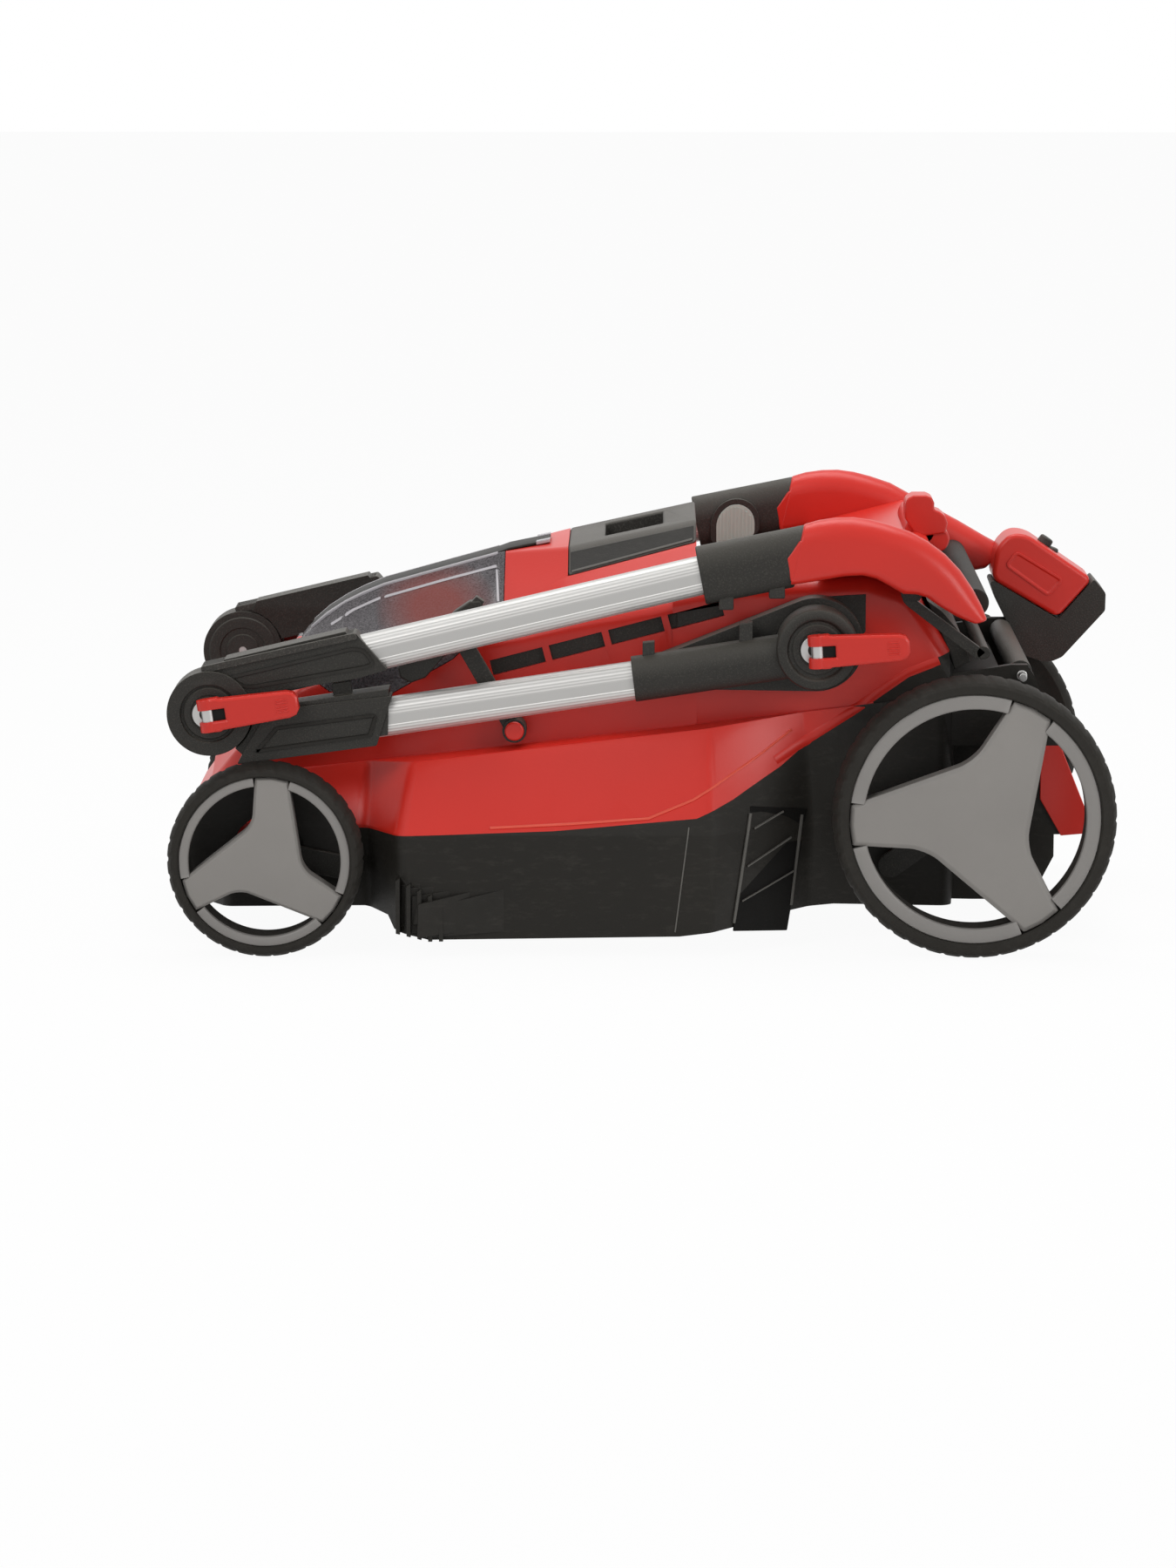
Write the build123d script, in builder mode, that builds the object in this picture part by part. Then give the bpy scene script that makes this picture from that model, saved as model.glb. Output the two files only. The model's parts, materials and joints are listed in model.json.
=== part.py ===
from build123d import *
import os
from math import asin, atan2, cos, degrees, hypot, radians, sin, tan

os.makedirs("parts", exist_ok=True)

# A cordless push mower with its handle folded over the hood, in millimetres.
# X runs from the front (negative) to the rear, Y across, Z up from the ground.
# The side that faces -Y is the left one. Side sizes are distances from the middle plane.

on_foot = (Align.CENTER, Align.CENTER, Align.MIN)

# Overall
half_length = 359.5
wheel_outer_y = 210.0

# Wheels
rear_wheel_r = 105.0
front_wheel_r = 72.5
wheel_base = 525.3
tyre_width = 38.0
rear_tyre_wall = 12.0
front_tyre_wall = 9.0
tread_depth = 1.4
tread_notch = 7.0
rear_treads = 40
front_treads = 28
rear_ring_width = 11.0
front_ring_width = 7.2
ring_setback = 3.0
spoke_setback = 4.0
spoke_thick = 17.0
hub_r = 14.0
axle_r = 6.0
running_fit = 0.05
rear_spoke_turn = 63.0
front_spoke_turn = 84.5
rear_spoke_half = 9.4
front_spoke_half = 11.4
rear_crook_turn = 29.0
front_crook_turn = 24.0
rear_crook_r = 43.0
front_crook_r = 28.5

# Axles and cutting height
rear_crank_x = 60.0
rear_crank_z = 43.0
front_crank_x = 60.6
front_crank_z = 12.5
crank_thick = 6.0
crank_clear = 1.5
crank_half = 9.0

# Deck and hood
body_wall = 3.2
deck_floor_z = 78.0
deck_floor = 4.0
skirt_z = 92.0
skirt_low_z = 10.0
skirt_draft = 4.0
shoulder_z = 162.0
shoulder_tilt = 6.8
corner_r = 14.0
rear_hump_half = 138.0
chamber_x = -52.0
chamber_r = 162.0
chamber_wall = 4.0
tunnel_half = 112.0
lid_gap = 0.6
comb_ribs = 5
comb_pitch = 8.0
comb_rib = 3.0
vent_count = 4
vent_long = 41.0
vent_high = 11.5
vent_pitch = 46.0
vent_rise = 15.0
liner_thick = 2.0

# Motor and blade
motor_r = 46.0
motor_high = 72.0
shaft_r = 7.0
blade_end = 150.0
blade_edge = 92.0
blade_wide = 44.0
blade_thick = 3.0
blade_z = 27.0
carrier_r = 34.0

# Handle
tube_y = 170.0
tube_wide = 20.0
tube_tall = 29.0
tube_wall = 1.6
socket_clear = 0.1
sleeve_half = 13.0
bracket_half_tall = 17.0
peg_half = 5.0
hinge_offset = 19.0
pivot_x = 121.7
pivot_z = 228.6
hinge_x = -328.0
hinge_z = 180.5
upper_angle = 13.3
knuckle_r = 31.5
knuckle_split_y = 170.5
face_clear = 0.3
knuckle_outer_y = 189.0
pivot_ring_r = 35.0
pivot_disc_r = 29.0
pivot_disc_outer_y = 189.0
bolt_r = 4.0
barrel_r = 5.0
barrel_y = 197.0
grip_r = 15.0
bail_r = 5.0
button_r = 6.0
button_high = 9.0

# Cam levers
cam_long = 70.0
cam_wide = 22.0
cam_thick = 11.0
cam_head = 7.0
cam_clear = 2.0
slot_half = 4.5
mid_cam_angle = 8.5
rear_cam_angle = 3.5

# Rear flap
flap_rod_x = 276.0
flap_rod_z = 203.0
flap_rod_r = 4.0
flap_half = 118.0
flap_thick = 4.0
flap_foot_x = 334.0
flap_foot_z = 58.0
ear_in_y = 131.0
ear_thick = 8.0
catcher_pin_r = 3.0
catcher_pin = 12.0
cheek_thick = 2.4

# Worked-out places
front_axle_x = front_wheel_r - half_length
rear_axle_x = front_axle_x + wheel_base
wheel_inner_y = wheel_outer_y - tyre_width
rear_pivot_rod = (rear_axle_x - rear_crank_x, rear_wheel_r - rear_crank_z)
front_pivot_rod = (front_axle_x + front_crank_x, front_wheel_r - front_crank_z)
span_x = hinge_x - pivot_x
span_z = hinge_z - pivot_z
span = hypot(span_x, span_z)
lower_angle = degrees(atan2(-span_z, -span_x) + asin(hinge_offset / span))
sleeve_in_y = tube_y - sleeve_half
sleeve_out_y = tube_y + sleeve_half
pivot_face_y = sleeve_in_y + 2.0


def lower_point(along, aside):
    """A place in the side view by the lower tube: along it from the rear pivot, and above its axis."""
    turn = radians(lower_angle)
    return (pivot_x + along * cos(turn) - aside * sin(turn), pivot_z + along * sin(turn) + aside * cos(turn))


def upper_point(along, aside):
    """A place in the side view by the upper tube: along it from the middle hinge, and above its axis."""
    turn = radians(upper_angle)
    above = aside + hinge_offset
    return (hinge_x + along * cos(turn) - above * sin(turn), hinge_z + along * sin(turn) + above * cos(turn))


def side_slab(points, near, far, mode=Mode.ADD):
    """A plate with an outline in the side view, between two distances on the left of the middle plane."""
    with BuildSketch(Plane.XZ.offset(near)) as outline:
        with BuildLine():
            Polyline(*points, close=True)
        make_face()
    extrude(outline.sketch, amount=far - near, mode=mode)


def side_disc(place, radius, near, far, mode=Mode.ADD):
    """A round bar across the mower, between two distances on the left of the middle plane."""
    with BuildSketch(Plane.XZ.offset(near)) as outline:
        with Locations(place):
            Circle(radius)
    extrude(outline.sketch, amount=far - near, mode=mode)


def save(part, name):
    part.label = name
    export_step(part, f"parts/{name}.step")


def save_pair(left_part, name):
    """Writes a left piece and its mirror image on the right."""
    save(left_part, f"{name}_left")
    with BuildPart() as right:
        mirror(left_part, about=Plane.XZ)
    save(right.part, f"{name}_right")


# Body shape shared by the deck and the hood
skirt_side = [(-353, 98), (-322, 148), (-214, 155), (-188, 202), (45, 204), (118, 150), (228, 148)]
shoulder_side = [(-334, 84), (-304, 124), (-214, 132), (-180, 164), (42, 168), (114, 141), (226, 138)]
hump_stations = [
    (-334, 118, 92, 116, 58, 128),
    (-300, 128, 105, 158, 60, 184),
    (-266, 134, 112, 188, 61, 234),
    (-236, 136, 114, 199, 61, 256),
    (-206, 138, 117, 208, 61, 271),
    (-118, 140, 128, 226, 62, 290),
    (-64, 141, 132, 238, 64, 297),
    (33, 142, 137, 255, 66, 313.5),
]
hump_base_z = 100.0
rear_hump_side = [(15, 110), (15, 266), (60, 273), (160, 276), (196, 266), (222, 222), (226, 110)]
seam = [
    (-360, 78), (-214, 90), (-73, 95), (-6, 100.5), (33, 104), (60, 116),
    (96, 137), (148, 178), (192, 208.5), (224, 220.5), (260, 226),
]
deck_foot = [
    (-360, 27), (-215, 30), (-197, 28), (-192, 19), (-166, 12.5), (-75, 14),
    (20, 15.6), (63, 21), (105, 28), (136, 31), (240, 29),
]


def plan_face(plane, half_outline, inset):
    """A body outline seen from above, drawn in by the inset."""
    with BuildSketch(plane) as face:
        with BuildLine():
            Polyline(*half_outline, *[(x, -y) for x, y in reversed(half_outline)], close=True)
        make_face()
        if inset:
            offset(amount=-inset, kind=Kind.INTERSECTION)
        fillet(face.vertices(), corner_r - inset)
    return face.sketch


def hump_face(station, inset, end):
    """One cross-section of the front hump. End is -1, 0 or 1 for the first, a middle or the last one."""
    x, foot_half, waist_half, waist_z, top_half, top_z = station
    half = [
        (foot_half - inset, hump_base_z),
        (waist_half - inset, waist_z - inset),
        (top_half - inset, top_z - inset),
    ]
    with BuildSketch(Plane.YZ.offset(x - end * inset)) as face:
        with BuildLine():
            Polyline(*half, *[(-y, z) for y, z in reversed(half)], close=True)
        make_face()
        fillet(face.vertices().group_by(Axis.Y)[-1], corner_r - inset)
        fillet([v for v in face.vertices() if abs(v.Y - waist_z + inset) < 0.1], corner_r - inset)
    return face.sketch


def body_solid(inset):
    """The whole outer shape of deck and hood, drawn in by the inset."""
    shoulder = Plane(
        origin=(0, 0, shoulder_z - inset),
        x_dir=(cos(radians(shoulder_tilt)), 0, sin(radians(shoulder_tilt))),
        z_dir=(-sin(radians(shoulder_tilt)), 0, cos(radians(shoulder_tilt))),
    )
    faces = [
        plan_face(Plane.XY.offset(skirt_low_z - inset), skirt_side, inset + skirt_draft),
        plan_face(Plane.XY.offset(skirt_z), skirt_side, inset),
        plan_face(shoulder, shoulder_side, inset),
    ]
    with BuildPart() as skirt_low:
        loft(faces[:2], ruled=True)
    with BuildPart() as skirt_high:
        loft(faces[1:], ruled=True)
    with BuildPart() as hump:
        last = len(hump_stations) - 1
        ends = [(-1 if i == 0 else 1 if i == last else 0) for i in range(last + 1)]
        loft([hump_face(station, inset, end) for station, end in zip(hump_stations, ends)], ruled=True)
    with BuildPart() as rear_hump:
        with BuildSketch(Plane.XZ) as profile:
            with BuildLine():
                Polyline(*rear_hump_side, close=True)
            make_face()
            if inset:
                offset(amount=-inset, kind=Kind.INTERSECTION)
        extrude(amount=rear_hump_half - inset, both=True)
        roof = rear_hump.edges().filter_by(lambda edge: edge.center().Z > 215 and edge.length > 5)
        fillet([e for e in roof if abs(e.center().Y) > 1], corner_r - inset)
    with BuildPart() as body:
        add(skirt_low.part)
        add(skirt_high.part)
        add(hump.part)
        add(rear_hump.part)
    return body.part


body_outer = body_solid(0)
body_hollow = body_solid(body_wall)
body_liner = body_solid(body_wall + liner_thick)


def across(points, half=wheel_outer_y):
    """A block right across the mower with an outline in the side view."""
    with BuildPart() as block:
        with BuildSketch(Plane.XZ):
            with BuildLine():
                Polyline(*points, close=True)
            make_face()
        extrude(amount=half, both=True)
    return block.part


below_seam = across([*seam, (260, -10), (-360, -10)])
above_seam = across([*seam, (260, 400), (-360, 400)])
under_foot = across([*deck_foot, (240, -10), (-360, -10)])

lid_axis = (-271.0, 222.0)
lid_edge = [
    lid_axis, (-262, 200), (-243, 187), (-195, 187), (-150, 213), (-113, 250),
    (-113, 340), (-300, 340), (-287.5, 233),
]
carry_edge = [(-64, 275), (34, 298), (34, 340), (-64, 340)]
lid_pin_r = 2.2
lid_barrel_r = 4.5
lid_lug_half = 12.0
lid_barrel_end = 56.0
lid_groove_r = 6.0
vent_first = (-101.0, 212.0)
vent_step_x = vent_pitch * cos(radians(vent_rise))
vent_step_z = vent_pitch * sin(radians(vent_rise))
vent_places = [(vent_first[0] + i * vent_step_x, vent_first[1] + i * vent_step_z) for i in range(vent_count)]

with BuildPart() as lid_room:
    with BuildSketch(Plane.XZ):
        with BuildLine():
            Polyline(*lid_edge, close=True)
        make_face()
        offset(amount=lid_gap, kind=Kind.INTERSECTION)
    extrude(amount=wheel_outer_y, both=True)

# Red hood with its lid opening, carry handle seat and vents
with BuildPart() as motor_hood:
    add(body_outer)
    add(body_hollow, mode=Mode.SUBTRACT)
    add(below_seam, mode=Mode.SUBTRACT)
    add(lid_room.part, mode=Mode.SUBTRACT)
    add(across(carry_edge), mode=Mode.SUBTRACT)
    side_disc(lid_axis, lid_groove_r, -wheel_outer_y, wheel_outer_y, Mode.SUBTRACT)
    side_slab([(-273, 226), (-268, 219), (-277, 206), (-282, 208)], -lid_lug_half, lid_lug_half)
    side_disc(lid_axis, lid_barrel_r, -lid_lug_half, lid_lug_half)
    side_disc(lid_axis, lid_pin_r, -lid_lug_half, lid_lug_half, Mode.SUBTRACT)
    with BuildSketch(Plane.XZ):
        for place in vent_places:
            with Locations(place):
                Rectangle(vent_long, vent_high, rotation=vent_rise)
    extrude(amount=wheel_outer_y, both=True, mode=Mode.SUBTRACT)
save(motor_hood.part, "motor_hood")

# Smoky battery lid with its hinge barrels
with BuildPart() as battery_lid:
    add(body_outer)
    add(body_hollow, mode=Mode.SUBTRACT)
    add(across(lid_edge), mode=Mode.INTERSECT)
    side_disc(lid_axis, lid_groove_r, -lid_lug_half - lid_gap, lid_lug_half + lid_gap, Mode.SUBTRACT)
    for near in (lid_lug_half + lid_gap, -lid_barrel_end):
        side_disc(lid_axis, lid_barrel_r, near, near + lid_barrel_end - lid_lug_half - lid_gap)
    side_disc(lid_axis, lid_pin_r + running_fit, -wheel_outer_y, wheel_outer_y, Mode.SUBTRACT)
save(battery_lid.part, "battery_lid")
with BuildPart() as lid_pin:
    side_disc(lid_axis, lid_pin_r, -lid_barrel_end, lid_barrel_end)
save(lid_pin.part, "lid_pin")

# Black liner behind the vents
vent_band = [(-134, 190), (62, 242), (62, 257), (-134, 222)]
with BuildPart() as vent_grilles:
    add(body_hollow)
    add(body_liner, mode=Mode.SUBTRACT)
    add(across(vent_band), mode=Mode.INTERSECT)
save(vent_grilles.part, "vent_grilles")

# Carry handle, flush with the hood's top, with a finger pocket
pocket_half = 42.0
with BuildPart() as carry_handle:
    add(body_outer)
    add(across(carry_edge), mode=Mode.INTERSECT)
    with BuildSketch(Plane.XZ):
        with BuildLine():
            Polyline((-36, 286), (8, 297), (8, 330), (-36, 330), close=True)
        make_face()
    extrude(amount=pocket_half, both=True, mode=Mode.SUBTRACT)
save(carry_handle.part, "carry_handle")

# Cutting deck: outer skirt, floor, blade chamber, discharge tunnel and rear ears
tunnel = [(58, 10), (58, 76), (96, 78), (150, 146), (264, 190), (316, 82), (180, 80), (118, 10)]
tunnel_mouth = [(250, 184.6), (282, 197), (334, 82), (300, 81.8)]
ear = [(224, 150), (224, 204), (268, 211), (280, 211), (285, 203), (291, 186), (304, 150)]
ear_bridge = [(224, 150), (224, 160), (288, 160), (288, 150)]
rear_skirt = [(222, 29), (222, 152), (292, 152), (303, 110), (303, 62), (286, 29)]
with BuildPart() as cutting_deck:
    add(body_outer)
    add(body_hollow, mode=Mode.SUBTRACT)
    extrude(plan_face(Plane.XY.offset(deck_floor_z), skirt_side, body_wall / 2), amount=deck_floor)
    with BuildSketch(Plane.XY.offset(skirt_low_z)):
        with Locations((chamber_x, 0)):
            Circle(chamber_r + chamber_wall)
    extrude(amount=deck_floor_z - skirt_low_z)
    with BuildSketch(Plane.XZ):
        with BuildLine():
            Polyline(*tunnel, close=True)
        make_face()
        offset(amount=body_wall, kind=Kind.INTERSECTION)
    extrude(amount=tunnel_half + body_wall, both=True)
    side_slab(ear, ear_in_y, ear_in_y + ear_thick)
    side_slab(ear, -ear_in_y - ear_thick, -ear_in_y)
    side_slab(ear_bridge, tunnel_half, ear_in_y + ear_thick)
    side_slab(ear_bridge, -ear_in_y - ear_thick, -tunnel_half)
    side_slab(rear_skirt, tunnel_half, tunnel_half + body_wall)
    side_slab(rear_skirt, -tunnel_half - body_wall, -tunnel_half)
    with BuildSketch(Plane.XY.offset(skirt_low_z)):
        with Locations((chamber_x, 0)):
            Circle(chamber_r)
    extrude(amount=deck_floor_z - skirt_low_z, mode=Mode.SUBTRACT)
    side_slab(tunnel, -tunnel_half, tunnel_half, Mode.SUBTRACT)
    side_slab(tunnel_mouth, -tunnel_half, tunnel_half, Mode.SUBTRACT)
    add(above_seam, mode=Mode.SUBTRACT)
    for i in range(comb_ribs):
        rib_x = -190 + i * comb_pitch
        rib = [(rib_x, 12), (rib_x, 58 - 4 * i), (rib_x + comb_rib, 60 - 4 * i), (rib_x + comb_rib, 12)]
        side_slab(rib, 194, 206)
        side_slab(rib, -206, -194)
    add(under_foot, mode=Mode.SUBTRACT)
    with BuildSketch(Plane.XY.offset(deck_floor_z)):
        with Locations((chamber_x, 0)):
            Circle(carrier_r * 0.6)
    extrude(amount=deck_floor, mode=Mode.SUBTRACT)
    for rod in (rear_pivot_rod, front_pivot_rod):
        side_disc(rod, axle_r + running_fit, -wheel_outer_y, wheel_outer_y, Mode.SUBTRACT)
    side_disc((flap_rod_x, flap_rod_z), flap_rod_r, -wheel_outer_y, wheel_outer_y, Mode.SUBTRACT)
save(cutting_deck.part, "cutting_deck")


# Wheels: tyre with tread notches, grey ring with gaps for the spokes, and a three-spoke pinwheel cover
def build_wheel(name, x, z, radius, tyre_wall, ring_width, treads, spoke):
    spoke_turn, spoke_half, crook_turn, crook_r = spoke
    ring_r = radius - tyre_wall
    ring_in_r = ring_r - ring_width
    spoke_face_y = wheel_outer_y - spoke_setback
    spoke_back_y = spoke_face_y - spoke_thick

    def spoke_sketch(spread):
        corners = []
        for turn in range(3):
            for reach, swing in ((ring_r + 1, -spoke_half), (ring_r + 1, spoke_half), (crook_r, crook_turn)):
                angle = radians(spoke_turn + 120 * turn + swing)
                corners.append((x + reach * cos(angle), z + reach * sin(angle)))
        with BuildSketch(Plane.XZ.offset(spoke_back_y)) as star:
            with BuildLine():
                Polyline(*corners, close=True)
            make_face()
            if spread:
                offset(amount=spread, kind=Kind.INTERSECTION)
        return star.sketch

    with BuildPart() as tyre:
        side_disc((x, z), radius, wheel_inner_y, wheel_outer_y)
        fillet(tyre.edges().filter_by(GeomType.CIRCLE), tyre_wall * 0.55)
        side_disc((x, z), ring_r, wheel_inner_y, wheel_outer_y, Mode.SUBTRACT)
        with BuildSketch(Plane.XZ.offset(wheel_inner_y)) as notches:
            with Locations((x, z)):
                with PolarLocations(radius, treads):
                    Rectangle(2 * tread_depth, tread_notch)
        extrude(notches.sketch, amount=tyre_width, mode=Mode.SUBTRACT)
    save_pair(tyre.part, f"{name}_tyre")
    with BuildPart() as spokes:
        side_disc((x, z), ring_r, spoke_back_y, spoke_face_y)
        extrude(spoke_sketch(0), amount=spoke_thick, mode=Mode.INTERSECT)
        side_disc((x, z), hub_r, wheel_inner_y, spoke_back_y)
        side_disc((x, z), axle_r + running_fit, wheel_inner_y, spoke_back_y + spoke_thick / 2, Mode.SUBTRACT)
    save_pair(spokes.part, f"{name}_spokes")
    with BuildPart() as ring:
        side_disc((x, z), ring_r, wheel_inner_y + ring_setback, wheel_outer_y - ring_setback)
        side_disc((x, z), ring_in_r, wheel_inner_y, wheel_outer_y, Mode.SUBTRACT)
        extrude(spoke_sketch(socket_clear), amount=tyre_width, mode=Mode.SUBTRACT)
    save_pair(ring.part, f"{name}_ring")


build_wheel(
    "rear_wheel", rear_axle_x, rear_wheel_r, rear_wheel_r, rear_tyre_wall, rear_ring_width,
    rear_treads, (rear_spoke_turn, rear_spoke_half, rear_crook_turn, rear_crook_r),
)
build_wheel(
    "front_wheel", front_axle_x, front_wheel_r, front_wheel_r, front_tyre_wall, front_ring_width,
    front_treads, (front_spoke_turn, front_spoke_half, front_crook_turn, front_crook_r),
)


# Cranked axles that turn in the deck to set the cutting height
def build_axle(name, rod, stub, wall_y):
    arm_in_y = wall_y + crank_clear
    arm_out_y = arm_in_y + crank_thick
    stub_end_y = wheel_outer_y - spoke_setback - spoke_thick / 2 - 1
    with BuildPart() as axle:
        side_disc(rod, axle_r, -arm_in_y, arm_in_y)
        for side in (1, -1):
            near, far = sorted((side * arm_in_y, side * arm_out_y))
            with BuildSketch(Plane.XZ.offset(near)) as arm:
                SlotCenterPoint(((rod[0] + stub[0]) / 2, (rod[1] + stub[1]) / 2), stub, 2 * crank_half)
            extrude(arm.sketch, amount=far - near)
            near, far = sorted((side * arm_out_y, side * stub_end_y))
            side_disc(stub, axle_r, near, far)
    save(axle.part, name)


build_axle("rear_axle", rear_pivot_rod, (rear_axle_x, rear_wheel_r), 150.0)
build_axle("front_axle", front_pivot_rod, (front_axle_x, front_wheel_r), 157.0)

# Cutting height lever with its T grip, on the left of the hood
lever_pivot = (-103.0, 163.0)
lever_in_y = 145.0
lever_out_y = 156.0
lever_boss_r = 9.0
lever_pin_r = 4.0
lever_foot_y = 128.0
with BuildPart() as height_lever:
    side_disc(lever_pivot, lever_boss_r, lever_in_y, lever_out_y)
    side_slab([(-110, 163), (-152, 236), (-141, 242), (-98, 167)], lever_in_y + 2, lever_out_y - 2)
    side_slab([(-184, 199), (-177, 213), (-131, 264), (-125, 260), (-165, 208)], lever_in_y, lever_out_y)
    side_disc(lever_pivot, lever_pin_r + running_fit, lever_in_y, lever_out_y, Mode.SUBTRACT)
save(height_lever.part, "height_lever")
with BuildPart() as lever_pin:
    side_disc(lever_pivot, lever_pin_r, lever_foot_y, lever_out_y + 2)
    side_disc(lever_pivot, lever_boss_r, lever_foot_y, lever_in_y - face_clear)
    add(body_outer, mode=Mode.SUBTRACT)
save(lever_pin.part, "height_lever_pin")


# Handle tubes
def oval_tube(start, end, grow, hollow):
    """A flat-oval tube between two side-view places on the left."""
    run = (end[0] - start[0], end[1] - start[1])
    plane = Plane(origin=(start[0], -tube_y, start[1]), x_dir=(0, 1, 0), z_dir=(run[0], 0, run[1]))
    with BuildPart() as tube:
        with BuildSketch(plane) as section:
            RectangleRounded(tube_wide + 2 * grow, tube_tall + 2 * grow, tube_wide * 0.42)
            if hollow:
                RectangleRounded(
                    tube_wide - 2 * tube_wall, tube_tall - 2 * tube_wall, tube_wide * 0.42 - tube_wall,
                    mode=Mode.SUBTRACT,
                )
        extrude(amount=hypot(*run))
    return tube.part


hinge_along = span_x * cos(radians(lower_angle)) + span_z * sin(radians(lower_angle))
lower_start = lower_point(hinge_along + knuckle_r + 6, 0)
lower_end = lower_point(-pivot_disc_r - 10, 0)
upper_start = upper_point(knuckle_r + 6, 0)
upper_end = upper_point(431, 0)
save_pair(oval_tube(lower_start, lower_end, 0, True), "lower_tube")
save_pair(oval_tube(upper_start, upper_end, 0, True), "upper_tube")
lower_core = oval_tube(lower_start, lower_end, socket_clear, False)
upper_core = oval_tube(upper_start, upper_end, socket_clear, False)
hinge = (hinge_x, hinge_z)
pivot = (pivot_x, pivot_z)

# Front knuckle of the lower tube: bracket outside the tube and an inner hinge disc
with BuildPart() as lower_knuckle:
    bracket = [
        lower_point(hinge_along + 20, -bracket_half_tall), lower_point(hinge_along + 128, -bracket_half_tall),
        lower_point(hinge_along + 134, bracket_half_tall), lower_point(hinge_along - 8, bracket_half_tall),
    ]
    side_slab(bracket, sleeve_in_y, sleeve_out_y)
    side_disc(hinge, knuckle_r + 1, knuckle_split_y - face_clear, sleeve_out_y, Mode.SUBTRACT)
    side_disc(hinge, knuckle_r, sleeve_in_y, knuckle_split_y - face_clear)
    side_slab(
        [lower_point(hinge_along + 92, 0), lower_point(hinge_along + 106, 0),
         lower_point(hinge_along + 106, 26), lower_point(hinge_along + 92, 26)],
        tube_y - peg_half, tube_y + peg_half,
    )
    add(lower_core, mode=Mode.SUBTRACT)
    side_disc(hinge, bolt_r + running_fit, sleeve_in_y, sleeve_out_y, Mode.SUBTRACT)
save_pair(lower_knuckle.part, "lower_knuckle")

# Front knuckle of the upper tube: bracket and the outer hinge disc with a raised rim
with BuildPart() as upper_knuckle:
    bracket = [
        upper_point(-6, -bracket_half_tall), upper_point(128, -bracket_half_tall),
        upper_point(112, bracket_half_tall), upper_point(20, bracket_half_tall),
    ]
    side_slab(bracket, sleeve_in_y, sleeve_out_y)
    side_disc(hinge, knuckle_r + 1, sleeve_in_y, knuckle_split_y, Mode.SUBTRACT)
    side_disc(hinge, knuckle_r, knuckle_split_y, knuckle_outer_y)
    side_disc(hinge, knuckle_r - 10, knuckle_outer_y - 3, knuckle_outer_y, Mode.SUBTRACT)
    add(upper_core, mode=Mode.SUBTRACT)
    side_disc(hinge, bolt_r + running_fit, sleeve_in_y, knuckle_outer_y, Mode.SUBTRACT)
save_pair(upper_knuckle.part, "upper_knuckle")

# Rear sleeve of the lower tube with its pivot disc
with BuildPart() as lower_sleeve:
    side_slab(
        [lower_point(-141, -20), lower_point(-18, -22), lower_point(-18, 19), lower_point(-141, 18)],
        pivot_face_y, sleeve_out_y,
    )
    side_disc(pivot, pivot_disc_r, pivot_face_y, pivot_disc_outer_y)
    side_disc(pivot, pivot_disc_r - 8, pivot_disc_outer_y - 2.5, pivot_disc_outer_y, Mode.SUBTRACT)
    for along in (-126, -55):
        peg = [
            lower_point(along - peg_half, 0), lower_point(along + peg_half, 0),
            lower_point(along + peg_half, 27), lower_point(along - peg_half, 27),
        ]
        side_slab(peg, tube_y - peg_half, tube_y + peg_half)
    add(lower_core, mode=Mode.SUBTRACT)
    side_disc(pivot, bolt_r + running_fit, pivot_face_y, pivot_disc_outer_y, Mode.SUBTRACT)
save_pair(lower_sleeve.part, "lower_sleeve")

# Handle bracket on the hood's flank: a ring face with a tail toward the front
with BuildPart() as handle_bracket:
    with BuildSketch(Plane.XZ.offset(rear_hump_half)) as plate:
        with Locations(pivot):
            Circle(pivot_ring_r)
        with Locations(lower_point(-118, -4)):
            Circle(12)
        make_hull()
    extrude(plate.sketch, amount=pivot_face_y - face_clear - rear_hump_half)
    add(body_outer, mode=Mode.SUBTRACT)
    side_disc(pivot, bolt_r, rear_hump_half, pivot_face_y, Mode.SUBTRACT)
save_pair(handle_bracket.part, "handle_bracket")

# Upper sleeve with its chevron end and two pegs below
sleeve_outline = [(32.6, 307.8), (114.9, 326.1), (99.4, 297.9), (101.9, 278.9), (41.7, 264.4)]
with BuildPart() as upper_sleeve:
    side_slab(sleeve_outline, sleeve_in_y - 1, sleeve_out_y + 1)
    for peg_x in (54.0, 92.0):
        peg_foot_z = 261 + 0.2 * (peg_x - 54)
        peg = [
            (peg_x - peg_half, 290), (peg_x + peg_half, 290),
            (peg_x + peg_half, peg_foot_z + 1), (peg_x - peg_half, peg_foot_z - 1),
        ]
        side_slab(peg, tube_y - peg_half, tube_y + peg_half)
    add(upper_core, mode=Mode.SUBTRACT)
save_pair(upper_sleeve.part, "upper_sleeve")

# Red gooseneck handle: two arms, the cross-member and its hump
arm_edge_top = [(149, 329), (181.6, 323), (215.4, 302.4)]
arm_edge_low = [(238, 249), (199, 272.8), (185, 270), (166, 282), (150, 286), (124, 282.5)]
chevron = [(102.2, 278.9), (99.7, 297.9), (115.2, 326.1)]
left_tip = [(252, 280.5), (262, 268), (256, 248), (246, 244)]
right_tip = [(279, 270), (266, 246.6), (246, 244)]
bail_pivot = (197.0, 280.0)
bail_pin_r = 3.0
beam_side = [(160, 300), (160, 320), (182, 319), (214, 299), (206, 284), (178, 300)]
hump_half = 64.0


def arm_slab(tip, near, far):
    """One curved arm of the gooseneck, from the sleeve's chevron to its tip."""
    with BuildSketch(Plane.XZ.offset(near)) as outline:
        with BuildLine():
            Polyline(*chevron)
            Spline(chevron[-1], *arm_edge_top, tip[0])
            Polyline(*tip, arm_edge_low[0])
            Spline(*arm_edge_low)
            Line(arm_edge_low[-1], chevron[0])
        make_face()
    extrude(outline.sketch, amount=far - near)


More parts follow.
